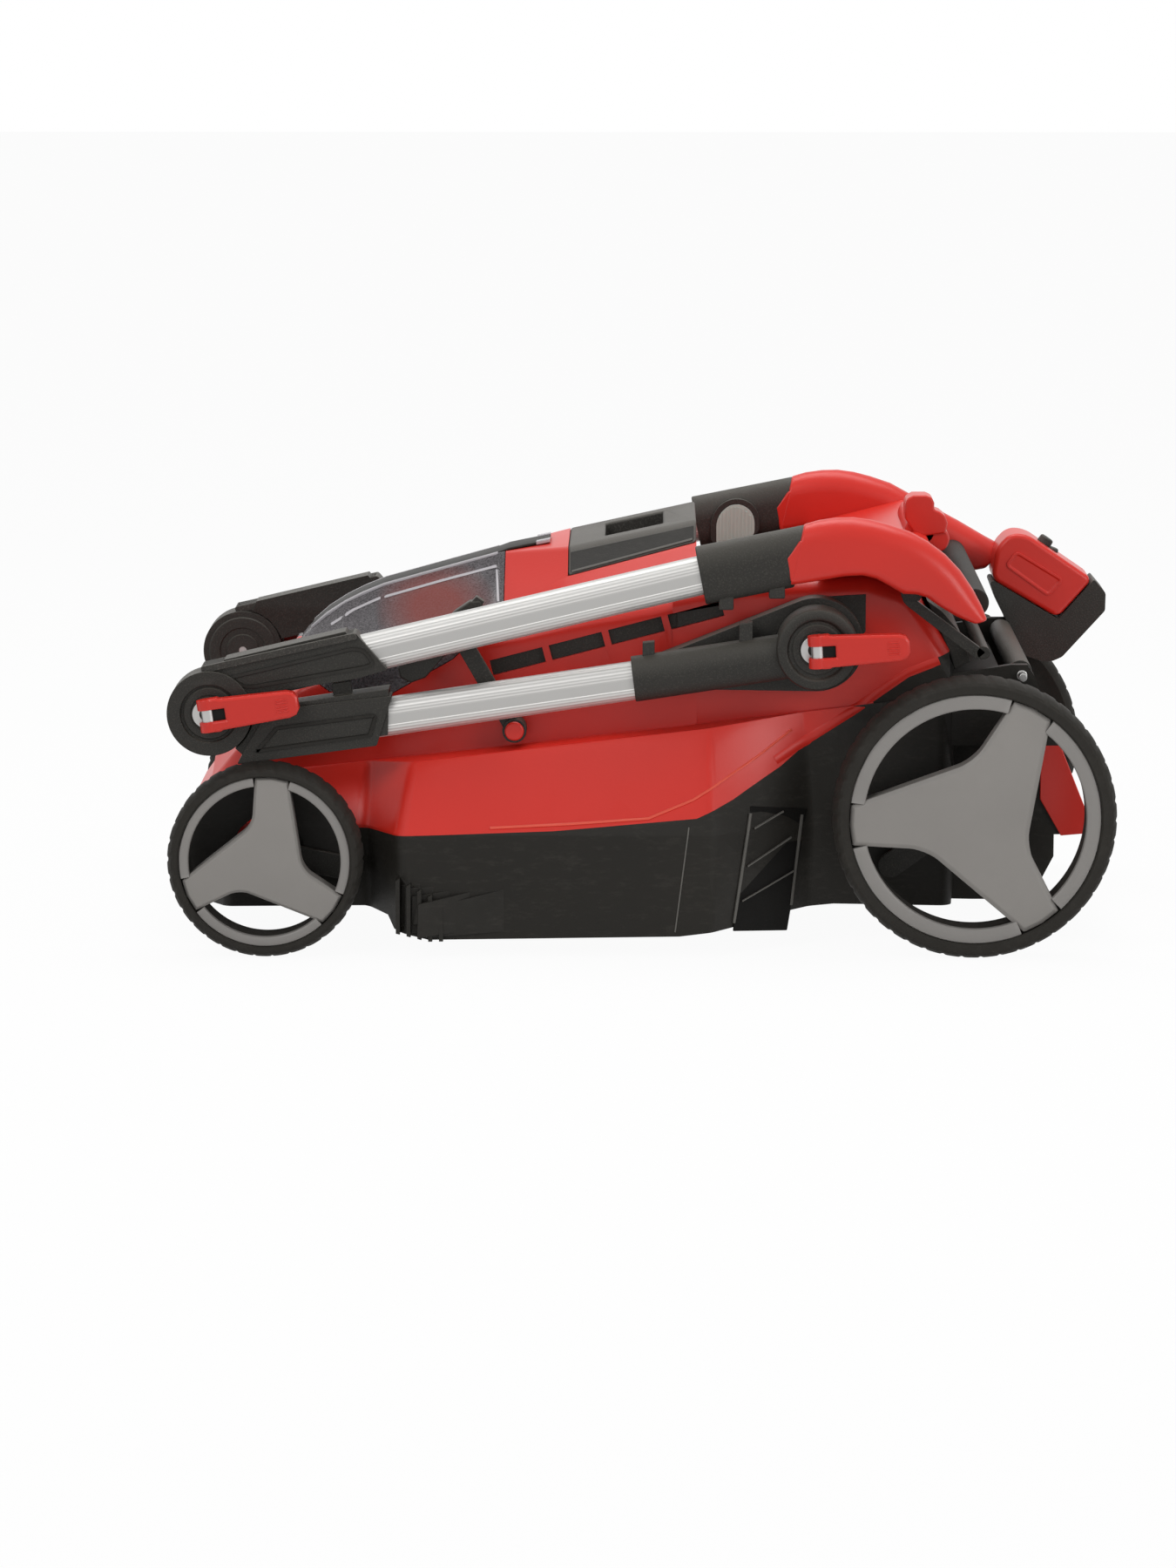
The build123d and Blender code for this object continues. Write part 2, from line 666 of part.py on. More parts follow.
with BuildPart() as handle_yoke:
    arm_slab(left_tip, sleeve_in_y, sleeve_out_y)
    arm_slab(right_tip, -sleeve_out_y, -sleeve_in_y)
    side_slab(beam_side, -sleeve_in_y, sleeve_in_y)
    with BuildSketch(Plane.XZ) as hump_side:
        with BuildLine():
            Polyline(
                (190, 300), (194, 325), (204, 330), (216, 326),
                (222, 314), (232, 302), (224, 288), (206, 286), close=True,
            )
        make_face()
    extrude(hump_side.sketch, amount=hump_half, both=True)
    for near in (sleeve_in_y, -sleeve_in_y - 6):
        side_disc(bail_pivot, bail_pin_r + running_fit, near, near + 6, Mode.SUBTRACT)
save(handle_yoke.part, "handle_yoke")

# Grip bar between the arms
grip_place = (244.0, 264.0)
with BuildPart() as grip_bar:
    side_disc(grip_place, grip_r, -sleeve_in_y, sleeve_in_y)
save(grip_bar.part, "grip_bar")

# Control housing at the end of the right arm: red top and black shell below it
housing_near_y = 122.0
housing_far_y = 170.5
housing_top = [(266, 246.6), (279, 270), (352, 245), (322, 213)]
shell_edge = [(266, 246.6), (322, 213), (352, 245), (half_length, 230), (320, 178), (299, 183), (268, 240)]
button_slope = degrees(atan2(housing_top[1][1] - housing_top[2][1], housing_top[2][0] - housing_top[1][0]))
button_x = 315.0
button_y = (housing_near_y + housing_far_y) / 2
button_z = housing_top[1][1] - (button_x - housing_top[1][0]) * tan(radians(button_slope))
button_travel = 5.0
button_root = 6.0
button_plane = Plane(
    origin=(button_x, button_y, button_z),
    z_dir=(sin(radians(button_slope)), 0, cos(radians(button_slope))),
)
with BuildPart() as control_housing:
    side_slab(housing_top, -housing_far_y, -housing_near_y)
    with BuildSketch(button_plane.offset(-button_root - button_travel - 1)) as well:
        Circle(button_r + running_fit)
    extrude(well.sketch, amount=button_root + button_travel + 10, mode=Mode.SUBTRACT)
save(control_housing.part, "control_housing")
with BuildPart() as control_shell:
    side_slab(shell_edge, -housing_far_y, -housing_near_y)
save(control_shell.part, "control_shell")
with BuildPart() as safety_button:
    with BuildSketch(button_plane.offset(-button_root)) as cap:
        Circle(button_r)
    extrude(cap.sketch, amount=button_root + button_high)
    fillet(safety_button.edges().sort_by(Axis.Z)[-1], 2.0)
save(safety_button.part, "safety_button")

# Black bail under the grip bar
bail_bar = (246.0, 222.0)
bail_out_y = sleeve_in_y - 2.0
bail_in_y = bail_out_y - 8.0
bail_boss_r = 7.0
bail_leg = [(190.5, 281), (196, 242), (244, 217), (248, 226), (207, 247), (203.5, 281)]
with BuildPart() as bail:
    for side in (1, -1):
        near, far = sorted((side * bail_in_y, side * bail_out_y))
        side_slab(bail_leg, near, far)
        side_disc(bail_pivot, bail_boss_r, near, far)
        near, far = sorted((side * bail_out_y, side * (sleeve_in_y + 4)))
        side_disc(bail_pivot, bail_pin_r, near, far)
    side_disc(bail_bar, bail_r, -bail_out_y, bail_out_y)
save(bail.part, "bail")


# Cam levers and their clamp bolts at both hinges
def build_cam(name, place, angle):
    turn = radians(angle)
    along = (cos(turn), 0, sin(turn))
    aside = (-sin(turn), 0, cos(turn))
    cross_plane = Plane(origin=(place[0], -barrel_y, place[1]), x_dir=along, z_dir=aside)

    def spot(a, b):
        return (place[0] + a * cos(turn) - b * sin(turn), place[1] + a * sin(turn) + b * cos(turn))

    half = cam_wide / 2
    near = barrel_y - cam_head + cam_clear
    with BuildPart() as cam:
        with BuildSketch(cross_plane.offset(-half)) as head:
            Circle(cam_head)
        extrude(head.sketch, amount=cam_wide)
        plate = [spot(0, -half), spot(cam_long, -half * 0.8), spot(cam_long, half * 0.8), spot(0, half)]
        side_slab(plate, near, near + cam_thick)
        slot = [
            spot(-2 * cam_head, -slot_half), spot(2 * cam_head, -slot_half),
            spot(2 * cam_head, slot_half), spot(-2 * cam_head, slot_half),
        ]
        side_slab(slot, near - cam_head, near + 2 * cam_thick, Mode.SUBTRACT)
        with BuildSketch(cross_plane.offset(-half)) as bore:
            Circle(barrel_r + running_fit)
        extrude(bore.sketch, amount=cam_wide, mode=Mode.SUBTRACT)
    save_pair(cam.part, name)


def build_bolts(name, place, angle, root_y):
    turn = radians(angle)
    cross_plane = Plane(
        origin=(place[0], -barrel_y, place[1]),
        x_dir=(cos(turn), 0, sin(turn)),
        z_dir=(-sin(turn), 0, cos(turn)),
    )
    with BuildPart() as bolt:
        side_disc(place, bolt_r, root_y, barrel_y)
        with BuildSketch(cross_plane.offset(-cam_wide / 2 + 1)) as barrel:
            Circle(barrel_r)
        extrude(barrel.sketch, amount=cam_wide - 2)
    with BuildPart() as bolts:
        add(bolt.part)
        mirror(bolt.part, about=Plane.XZ)
    save(bolts.part, name)


build_cam("rear_cam_lever", pivot, rear_cam_angle)
build_cam("middle_cam_lever", hinge, mid_cam_angle)
build_bolts("rear_clamp_bolts", pivot, rear_cam_angle, rear_hump_half)
build_bolts("middle_clamp_bolts", hinge, mid_cam_angle, sleeve_in_y)

# Rear flap on its rod
flap_run = hypot(flap_foot_x - flap_rod_x, flap_foot_z - flap_rod_z)
flap_lean = atan2(flap_foot_z - flap_rod_z, flap_foot_x - flap_rod_x)


def flap_point(down, out):
    """A place in the side view by the flap: down it from the rod, and out toward the rear."""
    return (
        flap_rod_x + down * cos(flap_lean) - out * sin(flap_lean),
        flap_rod_z + down * sin(flap_lean) + out * cos(flap_lean),
    )


flap_barrel_r = flap_rod_r + 4.0
flap_cheek = [
    flap_point(12, flap_rod_r), flap_point(flap_run - 22, flap_rod_r),
    (308, 78), (292, 106), (292, 162), (284, 190),
]
with BuildPart() as rear_flap:
    side_disc((flap_rod_x, flap_rod_z), flap_barrel_r, -flap_half, flap_half)
    side_slab(
        [flap_point(0, flap_rod_r), flap_point(flap_run, flap_rod_r),
         flap_point(flap_run, flap_rod_r + flap_thick), flap_point(0, flap_rod_r + flap_thick)],
        -flap_half, flap_half,
    )
    side_slab(flap_cheek, flap_half - cheek_thick, flap_half)
    side_slab(flap_cheek, -flap_half, cheek_thick - flap_half)
    side_disc((flap_rod_x, flap_rod_z), flap_rod_r + running_fit, -flap_half, flap_half, Mode.SUBTRACT)
save(rear_flap.part, "rear_flap")
with BuildPart() as flap_rod:
    rod_end = ear_in_y + ear_thick
    pin_end = rod_end + catcher_pin
    side_disc((flap_rod_x, flap_rod_z), flap_rod_r, -rod_end, rod_end)
    side_disc((flap_rod_x, flap_rod_z), catcher_pin_r, -pin_end, pin_end)
save(flap_rod.part, "flap_rod")

# Motor on the deck floor, its screws, and the blade hung on its shaft
motor_foot_z = deck_floor_z + deck_floor
flange_r = motor_r + 12.0
flange_thick = 5.0
shaft_top_z = motor_foot_z + 22.0
shaft_foot_z = blade_z - 5.0
screw_r = 4.0
with BuildPart() as motor_housing:
    with Locations((chamber_x, 0, motor_foot_z)):
        Cylinder(flange_r, flange_thick, align=on_foot)
        Cylinder(motor_r, motor_high, align=on_foot)
        Cylinder(
            shaft_r + running_fit, shaft_top_z - motor_foot_z,
            align=on_foot, mode=Mode.SUBTRACT,
        )
save(motor_housing.part, "motor_housing")
with BuildPart() as motor_screws:
    with Locations((chamber_x, 0, motor_foot_z + flange_thick)):
        with PolarLocations((motor_r + flange_r) / 2, 4, start_angle=45):
            Cylinder(screw_r, 3.0, align=on_foot)
save(motor_screws.part, "motor_screws")
with BuildPart() as motor_shaft:
    with Locations((chamber_x, 0, shaft_foot_z)):
        Cylinder(shaft_r, shaft_top_z - shaft_foot_z, align=on_foot)
    with BuildSketch(Plane.XY.offset(blade_z - 9.0)) as nut:
        with Locations((chamber_x, 0)):
            RegularPolygon(shaft_r * 1.7, 6)
    extrude(nut.sketch, amount=9.0)
save(motor_shaft.part, "motor_shaft")
carrier_foot_z = blade_z + blade_thick
with BuildPart() as blade_carrier:
    with Locations((chamber_x, 0, carrier_foot_z)):
        Cylinder(carrier_r, 6.0, align=on_foot)
        Cylinder(carrier_r * 0.5, deck_floor_z - carrier_foot_z - 8, align=on_foot)
        Cylinder(shaft_r, 60, align=on_foot, mode=Mode.SUBTRACT)
save(blade_carrier.part, "blade_carrier")
with BuildPart() as blade:
    with BuildSketch(Plane.XY.offset(blade_z)) as bar:
        with BuildLine():
            Polyline(
                (chamber_x - blade_end, -blade_wide / 2), (chamber_x + blade_edge, -blade_wide / 2),
                (chamber_x + blade_end, -blade_wide / 4), (chamber_x + blade_end, blade_wide / 2),
                (chamber_x - blade_edge, blade_wide / 2), (chamber_x - blade_end, blade_wide / 4), close=True,
            )
        make_face()
        with Locations((chamber_x, 0)):
            Circle(shaft_r, mode=Mode.SUBTRACT)
    extrude(bar.sketch, amount=blade_thick)
save(blade.part, "blade")

# Battery tray on posts, its two packs, the safety key and the controller box
tray_front_x = -250.0
tray_rear_x = -119.0
tray_half = 58.0
tray_z = 150.0
tray_thick = 6.0
post = 10.0
pack_half = 37.0
pack_long = 54.0
pack_gap = 6.0
pack_top_z = [222.0, 240.0]
tray_top_z = tray_z + tray_thick
with BuildPart() as battery_tray:
    with Locations(((tray_front_x + tray_rear_x) / 2, 0, tray_z)):
        Box(tray_rear_x - tray_front_x, 2 * tray_half, tray_thick, align=on_foot)
    with Locations(((tray_front_x + tray_rear_x) / 2, 0, motor_foot_z)):
        with GridLocations(tray_rear_x - tray_front_x - post, 2 * tray_half - post, 2, 2):
            Box(post, post, tray_z - motor_foot_z, align=on_foot)
save(battery_tray.part, "battery_tray")
for i, name in enumerate(("front_battery", "rear_battery")):
    middle_x = tray_front_x + 12 + pack_long / 2 + i * (pack_long + pack_gap)
    with BuildPart() as pack:
        with Locations((middle_x, 0, tray_top_z)):
            Box(pack_long, 2 * pack_half, pack_top_z[i] - tray_top_z, align=on_foot)
        chamfer(pack.edges().filter_by(Axis.Z), 5.0)
    save(pack.part, name)
with BuildPart() as safety_key:
    with Locations((tray_front_x + 60, tray_half - 10, tray_top_z)):
        Box(20, 8, 30, align=on_foot)
save(safety_key.part, "safety_key")
with BuildPart() as controller_box:
    with Locations((30, 0, motor_foot_z)):
        Box(36, 90, 36, align=on_foot)
save(controller_box.part, "controller_box")
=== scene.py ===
"""Folded push mower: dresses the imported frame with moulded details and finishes."""

import json
from math import atan2, cos, hypot, pi, radians, sin

import bmesh
import bpy
from bpy.props import FloatProperty, FloatVectorProperty, IntProperty, PointerProperty
from mathutils import Matrix, Vector
from mathutils.bvhtree import BVHTree

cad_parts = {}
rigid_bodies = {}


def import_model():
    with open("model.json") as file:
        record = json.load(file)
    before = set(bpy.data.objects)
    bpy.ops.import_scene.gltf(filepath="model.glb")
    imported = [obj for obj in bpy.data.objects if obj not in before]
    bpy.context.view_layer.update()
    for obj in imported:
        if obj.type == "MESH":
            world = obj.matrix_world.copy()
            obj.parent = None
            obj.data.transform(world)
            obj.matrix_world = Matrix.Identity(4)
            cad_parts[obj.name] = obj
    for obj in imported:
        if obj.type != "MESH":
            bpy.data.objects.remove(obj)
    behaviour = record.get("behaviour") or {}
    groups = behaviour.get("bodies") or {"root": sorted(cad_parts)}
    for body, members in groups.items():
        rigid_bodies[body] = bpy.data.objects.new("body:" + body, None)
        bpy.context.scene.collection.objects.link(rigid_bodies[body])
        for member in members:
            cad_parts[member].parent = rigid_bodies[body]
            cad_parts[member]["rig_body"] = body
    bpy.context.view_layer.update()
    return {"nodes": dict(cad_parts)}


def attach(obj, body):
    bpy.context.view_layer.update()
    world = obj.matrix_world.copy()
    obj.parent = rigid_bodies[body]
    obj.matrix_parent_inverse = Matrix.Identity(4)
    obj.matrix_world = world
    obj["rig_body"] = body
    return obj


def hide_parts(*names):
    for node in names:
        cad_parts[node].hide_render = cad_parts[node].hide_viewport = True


bl_info = {
    "name": "Folded push mower",
    "version": (1, 0, 0),
    "blender": (4, 5, 0),
    "location": "3D View > Sidebar > Mower",
    "description": "Moulded details, finishes and a studio for a folded push mower",
    "category": "Object",
}

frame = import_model()

MM = 0.001
LEFT = -1
RIGHT = 1
SIDES = {"left": LEFT, "right": RIGHT}

# Axes across the mower, as side-view places in millimetres: along X and up Z
PIVOT = (121.7, 228.6)
HINGE = (-328.0, 180.5)
HEIGHT_LEVER_PIVOT = (-103.0, 163.0)
FLAP_ROD = (276.0, 203.0)
GRIP = (239.0, 260.0)
BAIL_PIVOT = (197.0, 280.0)
BAIL_BAR = (246.0, 222.0)

# Wheels: lengths in millimetres; an arm's turn, its half width, its crook and its gap to the ring in degrees
WHEELS = {
    "rear": {"middle": (238.3, 105.0), "radius": 105.0, "wall": 12.0, "ring": 11.0, "turn": 63.0,
             "half_arm": 9.4, "crook": 29.0, "crook_reach": 43.0, "treads": 46},
    "front": {"middle": (-287.0, 72.5), "radius": 72.5, "wall": 9.0, "ring": 7.2, "turn": 84.5,
              "half_arm": 11.4, "crook": 24.0, "crook_reach": 28.5, "treads": 34},
}
ARMS = 3
ARM_TURN = 360 / ARMS
TYRE_IN_Y = 172.0
TYRE_OUT_Y = 210.0
TYRE_LAP = 0.8
SEAT_SINK = 8.0
STEPS_PER_TREAD = 8
TREAD_BAND = 3.4
TREAD_GROOVE = 0.3
TREAD_LEAN = 0.5
RING_SINK = 2.8
RING_DEPTH = 5.0
RING_GAP = 1.3
RING_STEPS = 40
SPOKE_BACK_Y = 189.0
SPOKE_DEPTH = 15.6
SPOKE_CROWN = 2.3
SPOKE_SLOPE = 0.3
SPOKE_GAP = 0.5
SPOKE_TIP = 0.4
CROOK_ROUND = 0.28

# Handle tubes: the joint each slants from, how far along it reaches, and its axis above that joint
TUBES = {
    "lower": {"joint": PIVOT, "slant": radians(8.5), "reach": (-400, -110), "above": -5.0},
    "upper": {"joint": HINGE, "slant": radians(13.3), "reach": (60, 415), "above": 15.0},
}
TUBE_HALF = 14.5

# Cam levers: joint and slant of each, then places along a lever from its barrels and across it
CAM_LEVERS = {"rear": (PIVOT, radians(3.5)), "middle": (HINGE, radians(8.5))}
CAM_HALF = [(13.0, 4.3), (0.5, 4.3), (0.5, 12.4), (8, 12.6), (10, 11.6), (60, 9.8), (65, 8.2), (67.5, 4.5)]
CAM_OUTLINE = CAM_HALF + [(along, -across) for along, across in reversed(CAM_HALF)]
CAM_SLOT = ((-1, -4.5), (13.5, 4.5))
CAM_RIM = 1.7
CAM_CROWN = 1.1
BARREL_ACROSS = 8.3
BARREL_Y = 197.0
BARREL_RADIUS = 7.2
BARREL_LENGTH = 7.8
RIDGE_REACH = (51, 60)
RIDGE_PITCH = 2.2
RIDGE_HALF = 0.5
WASHER_ALONG = -2

# Crown of the hood along X: waist height, top height, drop and narrowing
CROWN = [
    (-334, 116, 128, 0.0, 1.0), (-300, 158, 184, 8.0, 0.55), (-266, 188, 234, 15.0, 0.4),
    (-236, 199, 256, 13.0, 0.36), (-206, 208, 271, 14.5, 0.36), (-118, 226, 290, 9.0, 0.36),
    (-64, 238, 297, 6.5, 1.0), (34, 255, 313, 2.0, 1.0), (60, 262, 318, 0.0, 1.0),
]
CROWN_NODES = {
    "motor_hood", "battery_lid", "lid_pin", "battery_tray", "front_battery", "rear_battery", "controller_box",
    "safety_key", "carry_handle",
}

# Hood, carry handle and lid, as side-view places; a pair is a top and a low place
HOOD_LIP = [(-120, 97), (-60, 100), (-3, 104), (30, 117), (78, 145), (104, 163)]
HOOD_ARCH = [(92, 141.5), (112, 152.8), (150, 176.5), (190, 204.5), (214, 214)]
HOOD_RECESS = [(126, 262), (159, 264), (159, 236), (148, 222)]
REAR_COVER = [(205, 258), (216, 250), (230, 234), (238, 212), (226, 206), (221, 222)]
CARRY_SIDE = [(-62, 287), (31, 307.5), (31, 298.8), (-62, 274)]
CARRY_SIDE_LIFT = 0.7
CARRY_LIP = [(-61, 274.4), (30, 298.6)]
LID_LINES = [[(-246, 227), (-229, 238), (-209, 247), (-160, 261), (-119, 272)], [(-119, 270), (-117, 250)]]
LID_CREST = [
    (-262, 223.5), (-250, 234), (-236, 243), (-222, 250), (-206, 256.5), (-162, 268.8), (-118.5, 280.8),
]
CREST_RISE = 0.7
CREST_EDGE_RISE = 0.9
CREST_DEPTH = 3.0
LID_TAIL = [
    ((-119, 281.2), (-119, 278.5)), ((-110, 284.5), (-110, 282.5)), ((-100, 286.6), (-100, 284.4)),
    ((-90, 288.6), (-90, 286.3)), ((-79, 290.9), (-79, 288.7)),
]
LID_CLIP = [((-89, 289.8), (-89, 286.7)), ((-78.5, 292), (-78.5, 288.9))]

# Cutting deck: each terrace is a foot, a top and a far corner
DECK_CREASE = [(27, 98), (17, 19)]
TERRACES = [
    ((-187, 22), (-186, 54), (-172, 55)), ((-184, 20), (-183, 52), (-162, 53)),
    ((-179, 18), (-178, 46), (-150, 50)), ((-174, 16), (-173, 41), (-135, 49)),
    ((-168, 15), (-167, 37), (-110, 51)),
]
TERRACE_LIFT = 1.4
TERRACE_STEP = 1.0
TERRACE_FAR_LIFT = 0.2
TERRACE_FAR_FOOT = 4.0
LOUVRE_FINS = [[(76, 94), (98, 104)], [(71, 66), (104, 84)], [(67, 40), (106, 58)]]
LOUVRE_FRAME = [[(73, 105), (61, 24)], [(112, 100), (104, 32)]]
LOUVRE_BLOCK = [(116, 104), (101, 13), (60, 18), (73, 110)]
LOUVRE_FOOT = 36.0
LOUVRE_LIFT = 1.4
LOUVRE_SINK = 4.0
# Dark sheet behind each front wheel, painted shade on the hood's flank: radii in millimetres, then turns and
# step in degrees
SHADE_SHEET_OUTER = 63.0
SHADE_SHEET_INNER = 27.0
SHADE_SHEET_TURNS = (-20, 200)
SHADE_SHEET_STEP = 10

# Sleeves and brackets of the folded handle
UPPER_SLEEVE = [((31, 303.2), (39.4, 260.4)), ((112, 319.4), (104.5, 273.4))]
UPPER_PEGS = [
    [(48.8, 273), (48.8, 256.8), (59.8, 256.8), (59.8, 275)],
    [(85.8, 281), (85.8, 265.3), (97.7, 265.3), (97.7, 282)],
]
REAR_SLEEVE = [((-16.4, 221.4), (-12.3, 187.5)), ((108, 240.5), (110.5, 206.5))]
REAR_PEGS = [
    [(-7.5, 232), (-7.5, 210), (1.5, 210), (1.5, 233)],
    [(64, 246), (64, 225), (74, 225), (74, 247.5)],
]
UPPER_COVER = [
    (-334.4, 215.2), (-219.9, 240.7), (-195.9, 212.8), (-218.5, 206.3), (-263.7, 199.1), (-299.2, 193.2),
    (-325, 200),
]
UPPER_FLANGE = [(-334.4, 215.2), (-219.9, 240.7), (-218.0, 236.0), (-332.9, 210.2)]
UPPER_PANEL = [
    (-315, 207.6), (-221.5, 229.8), (-212.5, 228.5), (-204.5, 217), (-212, 213.9), (-297, 198.9), (-305, 200),
]
LOWER_COVER = [(-308, 142), (-204.3, 156.1), (-192.8, 193.3), (-270.3, 184.4), (-286, 180), (-301, 155)]
LOWER_PANEL = [(-295, 150.9), (-208.5, 162.8), (-203.9, 178), (-207, 180), (-279, 170.2)]
WINDOW_ARCH = [(46.5, 267), (46.5, 287), (54, 299), (66, 304), (78, 301), (85.5, 291), (85.5, 275)]
WINDOW_PANE = [(51, 265), (51, 286), (57, 295.5), (66, 299.5), (75.5, 297), (81.5, 289), (81.5, 273)]
WINDOW_MIDDLE = 66.5
WINDOW_HALF = 15.0
RIB_PLACES = range(54, 80, 3)
RIB_HALF = 0.7
RIB_FOOT = 270
RIB_TOP = 296.5
RIB_FALL = 11.0

# Yoke, bail, control housing and height lever; a roll of the hump is its axis and its radius
ARM = [
    ((111.2, 319.6), (101.5, 275.7)), ((122.4, 322.9), (113, 277.3)), ((135.3, 324.7), (126, 279.6)),
    ((148.1, 325), (141, 282.2)), ((161, 323.2), (155, 283)), ((173.8, 319.9), (165, 280.5)),
    ((189.9, 314.5), (174, 275.5)), ((202.8, 307.4), (185, 269.2)),
]
ARM_ENDS = {
    LEFT: [((215.8, 297.8), (194, 269)), ((227.2, 285.8), (202, 266.8)), ((237, 271.3), (211, 260.5)),
           ((243, 260), (224, 252.6)), ((247, 250), (238, 247))],
    RIGHT: [((225.3, 294.8), (196, 269)), ((244.6, 284.4), (211, 260.5)), ((265.6, 272.1), (232, 249)),
            ((277, 266), (252, 244.5)), ((279, 262), (266, 247))],
}
ARM_NOSE = [(108.3, 309), (98.5, 296), (101.8, 278), (106, 278), (114, 309)]
BEAM = [(124, 279), (124, 283.5), (199, 302.5), (208, 299), (207, 289), (178, 291), (150, 284)]
HUMP_ROLLS = [((203, 302.5), 12.0), ((215, 296), 10.0)]
HUMP_CLIP = [
    (191, 312), (190.8, 323), (192.6, 327.4), (197, 329.9), (207, 329.9), (211.4, 328), (213.2, 324),
    (213, 319), (217.4, 317.4), (221.6, 314), (223.4, 308.7), (221.7, 301), (200, 298),
]
BAIL_LEG = [
    (191, 284), (187.5, 269), (185.5, 261), (188.5, 257.5), (241, 217), (248, 222.5), (193.5, 263),
    (198.5, 271), (203, 284),
]
BAIL_ROOT = [(183, 272), (185, 263), (198, 261), (203, 271)]
HOUSING_EDGE = [(268.5, 243), (272, 268), (283, 279.5), (297, 278.5), (349, 243), (321.5, 212)]
HOUSING_PANEL = [(279, 254), (288, 266), (326, 243), (314, 229)]
SHELL_EDGE = [
    (267.5, 240), (270, 242), (322, 211), (350, 243), (359.3, 232), (359, 218), (325.5, 181), (318, 177.6),
    (310, 177.4), (297, 181.5), (283.5, 186.5), (281.6, 208), (273.5, 224),
]
LEVER_GRIP = [
    (-190, 211), (-147, 253), (-136, 260.5), (-128, 261), (-125, 254), (-169, 203), (-180, 199), (-188, 203),
]
BUTTON_PLACE = (312.0, 146.0, 270.0)
BUTTON_TILT = radians(34.0)
BUTTON_RADII = (6.2, 5.6)
BUTTON_LENGTH = 9.0

# Plates: distances of the two faces from the mower's middle plane, corner rounding and its steps
PLATES = {
    "hood_recess": (136.0, 138.5),
    "rear_cover": (-128.0, 128.0),
    "arch_liner": (157.0, 158.4),
    "rear_peg": (165.0, 175.0),
    "upper_peg": (165.0, 178.0),
    "cover": (159.0, 184.6, 1.5, 3),
    "flange": (158.2, 187.0, 1.5, 3),
    "window_arch": (162.0, 155.4, 5.0),
    "window_pane": (162.0, 154.8, 5.0),
    "window_rib": (155.2, 154.2),
    "arm_nose": (156.8, 183.2),
    "beam": (-158.0, 158.0),
    "hump_clip": (36.0, 64.0),
    "bail_leg": (147.0, 155.0, 1.5),
    "bail_root": (148.0, 155.8, 1.0),
    "housing": (122.0, 170.3, 6.0, 5),
    "shell": (122.3, 170.0, 5.0, 5),
    "lever_grip": (144.4, 156.7),
    "cam_lever": (192.0, 202.6),
    "cam_ridge": (203.0, 204.4),
    "cam_slot": (193.0, 200.6),
}

# Framed panels: distances of the back and the framed face, width of the rim, depth and corner rounding
PANELS = {
    "bracket_outer": (181.0, 185.9, 2.2, 2.4, 4.0),
    "bracket_inner": (-161.0, -157.6, 2.2, 2.4, 4.0),
    "housing": (-123.0, -120.6, 1.8, 0.9, 4.0),
}
PANEL_SLOPE = 0.9

# Round bars: radius, distances of the two ends and steps round the bar
BARS = {
    "hub": (14.0, TYRE_IN_Y, 192.0),
    "flap_sleeve": (8.7, -118.5, 118.5),
    "grip": (10.5, -158.0, 158.0),
    "bail_pin": (3.0, 150.0, 161.0, 24),
    "bail_bar": (5.0, -155.0, 155.0, 24),
    "lever_cap": (7.2, 155.0, 158.6),
}
HUMP_REACH = (-61.0, 61.0)

# Lofted bars: distances of the two sides, rounding at top and foot, steps and stretch of the rounding
LOFTS = {
    "tube": (160.0, 180.0, 9.8, 9.8, 10),
    "rear_sleeve": (159.0, 183.6, 12.0, 12.0, 10, 1.5),
    "upper_sleeve": (157.2, 182.8, 12.4, 10.0, 10, 1.6),
    "arm": (156.4, 183.6, 12.6, 5.0, 8, 1.35),
    "crest": (-20.5, 20.5, 1.0, 1.0, 3),
    "crest_edge": (20.0, 23.0, 1.2, 1.0, 3),
    "lid_tail": (-20.0, 20.0, 0.8, 0.8, 3),
    "lid_clip": (15.0, 22.0, 0.8, 0.8, 3),
}
ROUNDING_LIMIT = 0.45
STRETCHED_LIMIT = 0.49

# Raised lines on a surface: width and lift, then what lies below it and where a ray to it starts
BEADS = {
    "hood_lip": (2.4, 1.0),
    "hood_arch": (9.5, 0.6),
    "carry_lip": (2.2, 1.5),
    "lid_line": (2.4, 0.7),
    "louvre_fin": (1.6, 3.4),
    "louvre_frame": (3.0, 2.4),
    "deck_crease": (1.5, 0.5),
}
BEAD_PITCH = 6.0
BEAD_SINK = 0.8
PLATE_SINK = 2.0
RAY_START = 400.0

# Turned rings as closed profiles: radius and distance from the middle plane
PIVOT_BOSS = [
    (30.5, 159.3), (30.5, 186.0), (29.4, 188.2), (27.0, 189.0), (23.4, 189.0), (22.2, 188.2), (21.4, 186.4),
    (4.3, 186.4), (4.3, 159.3),
]
INNER_FACE = [
    (27.0, 159.0), (27.0, 156.6), (26.0, 155.8), (18.5, 155.8), (17.6, 156.6), (13.4, 156.6), (12.5, 155.6),
    (3.2, 155.6), (3.2, 159.0),
]
WASHER = [(10.5, 187.9), (10.5, 189.2), (5.0, 189.2), (5.0, 187.9)]
WASHER_STEPS = 40

# Grooved ring faces: radius, and distances of the back and the front
HINGE_FACE = (19.4, 185.5, 187.8)
PIVOT_FACE = (19.0, 186.0, 188.0)
FACE_BORE = 5.0
FACE_CHAMFER = 0.9
FACE_GROOVE = 0.7
FACE_GROOVE_EDGES = (0.72, 0.7, 0.64, 0.62)

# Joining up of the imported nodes' triangles: distance in metres and angle
JOIN_DISTANCE = 0.00002
JOIN_ANGLE = radians(0.6)
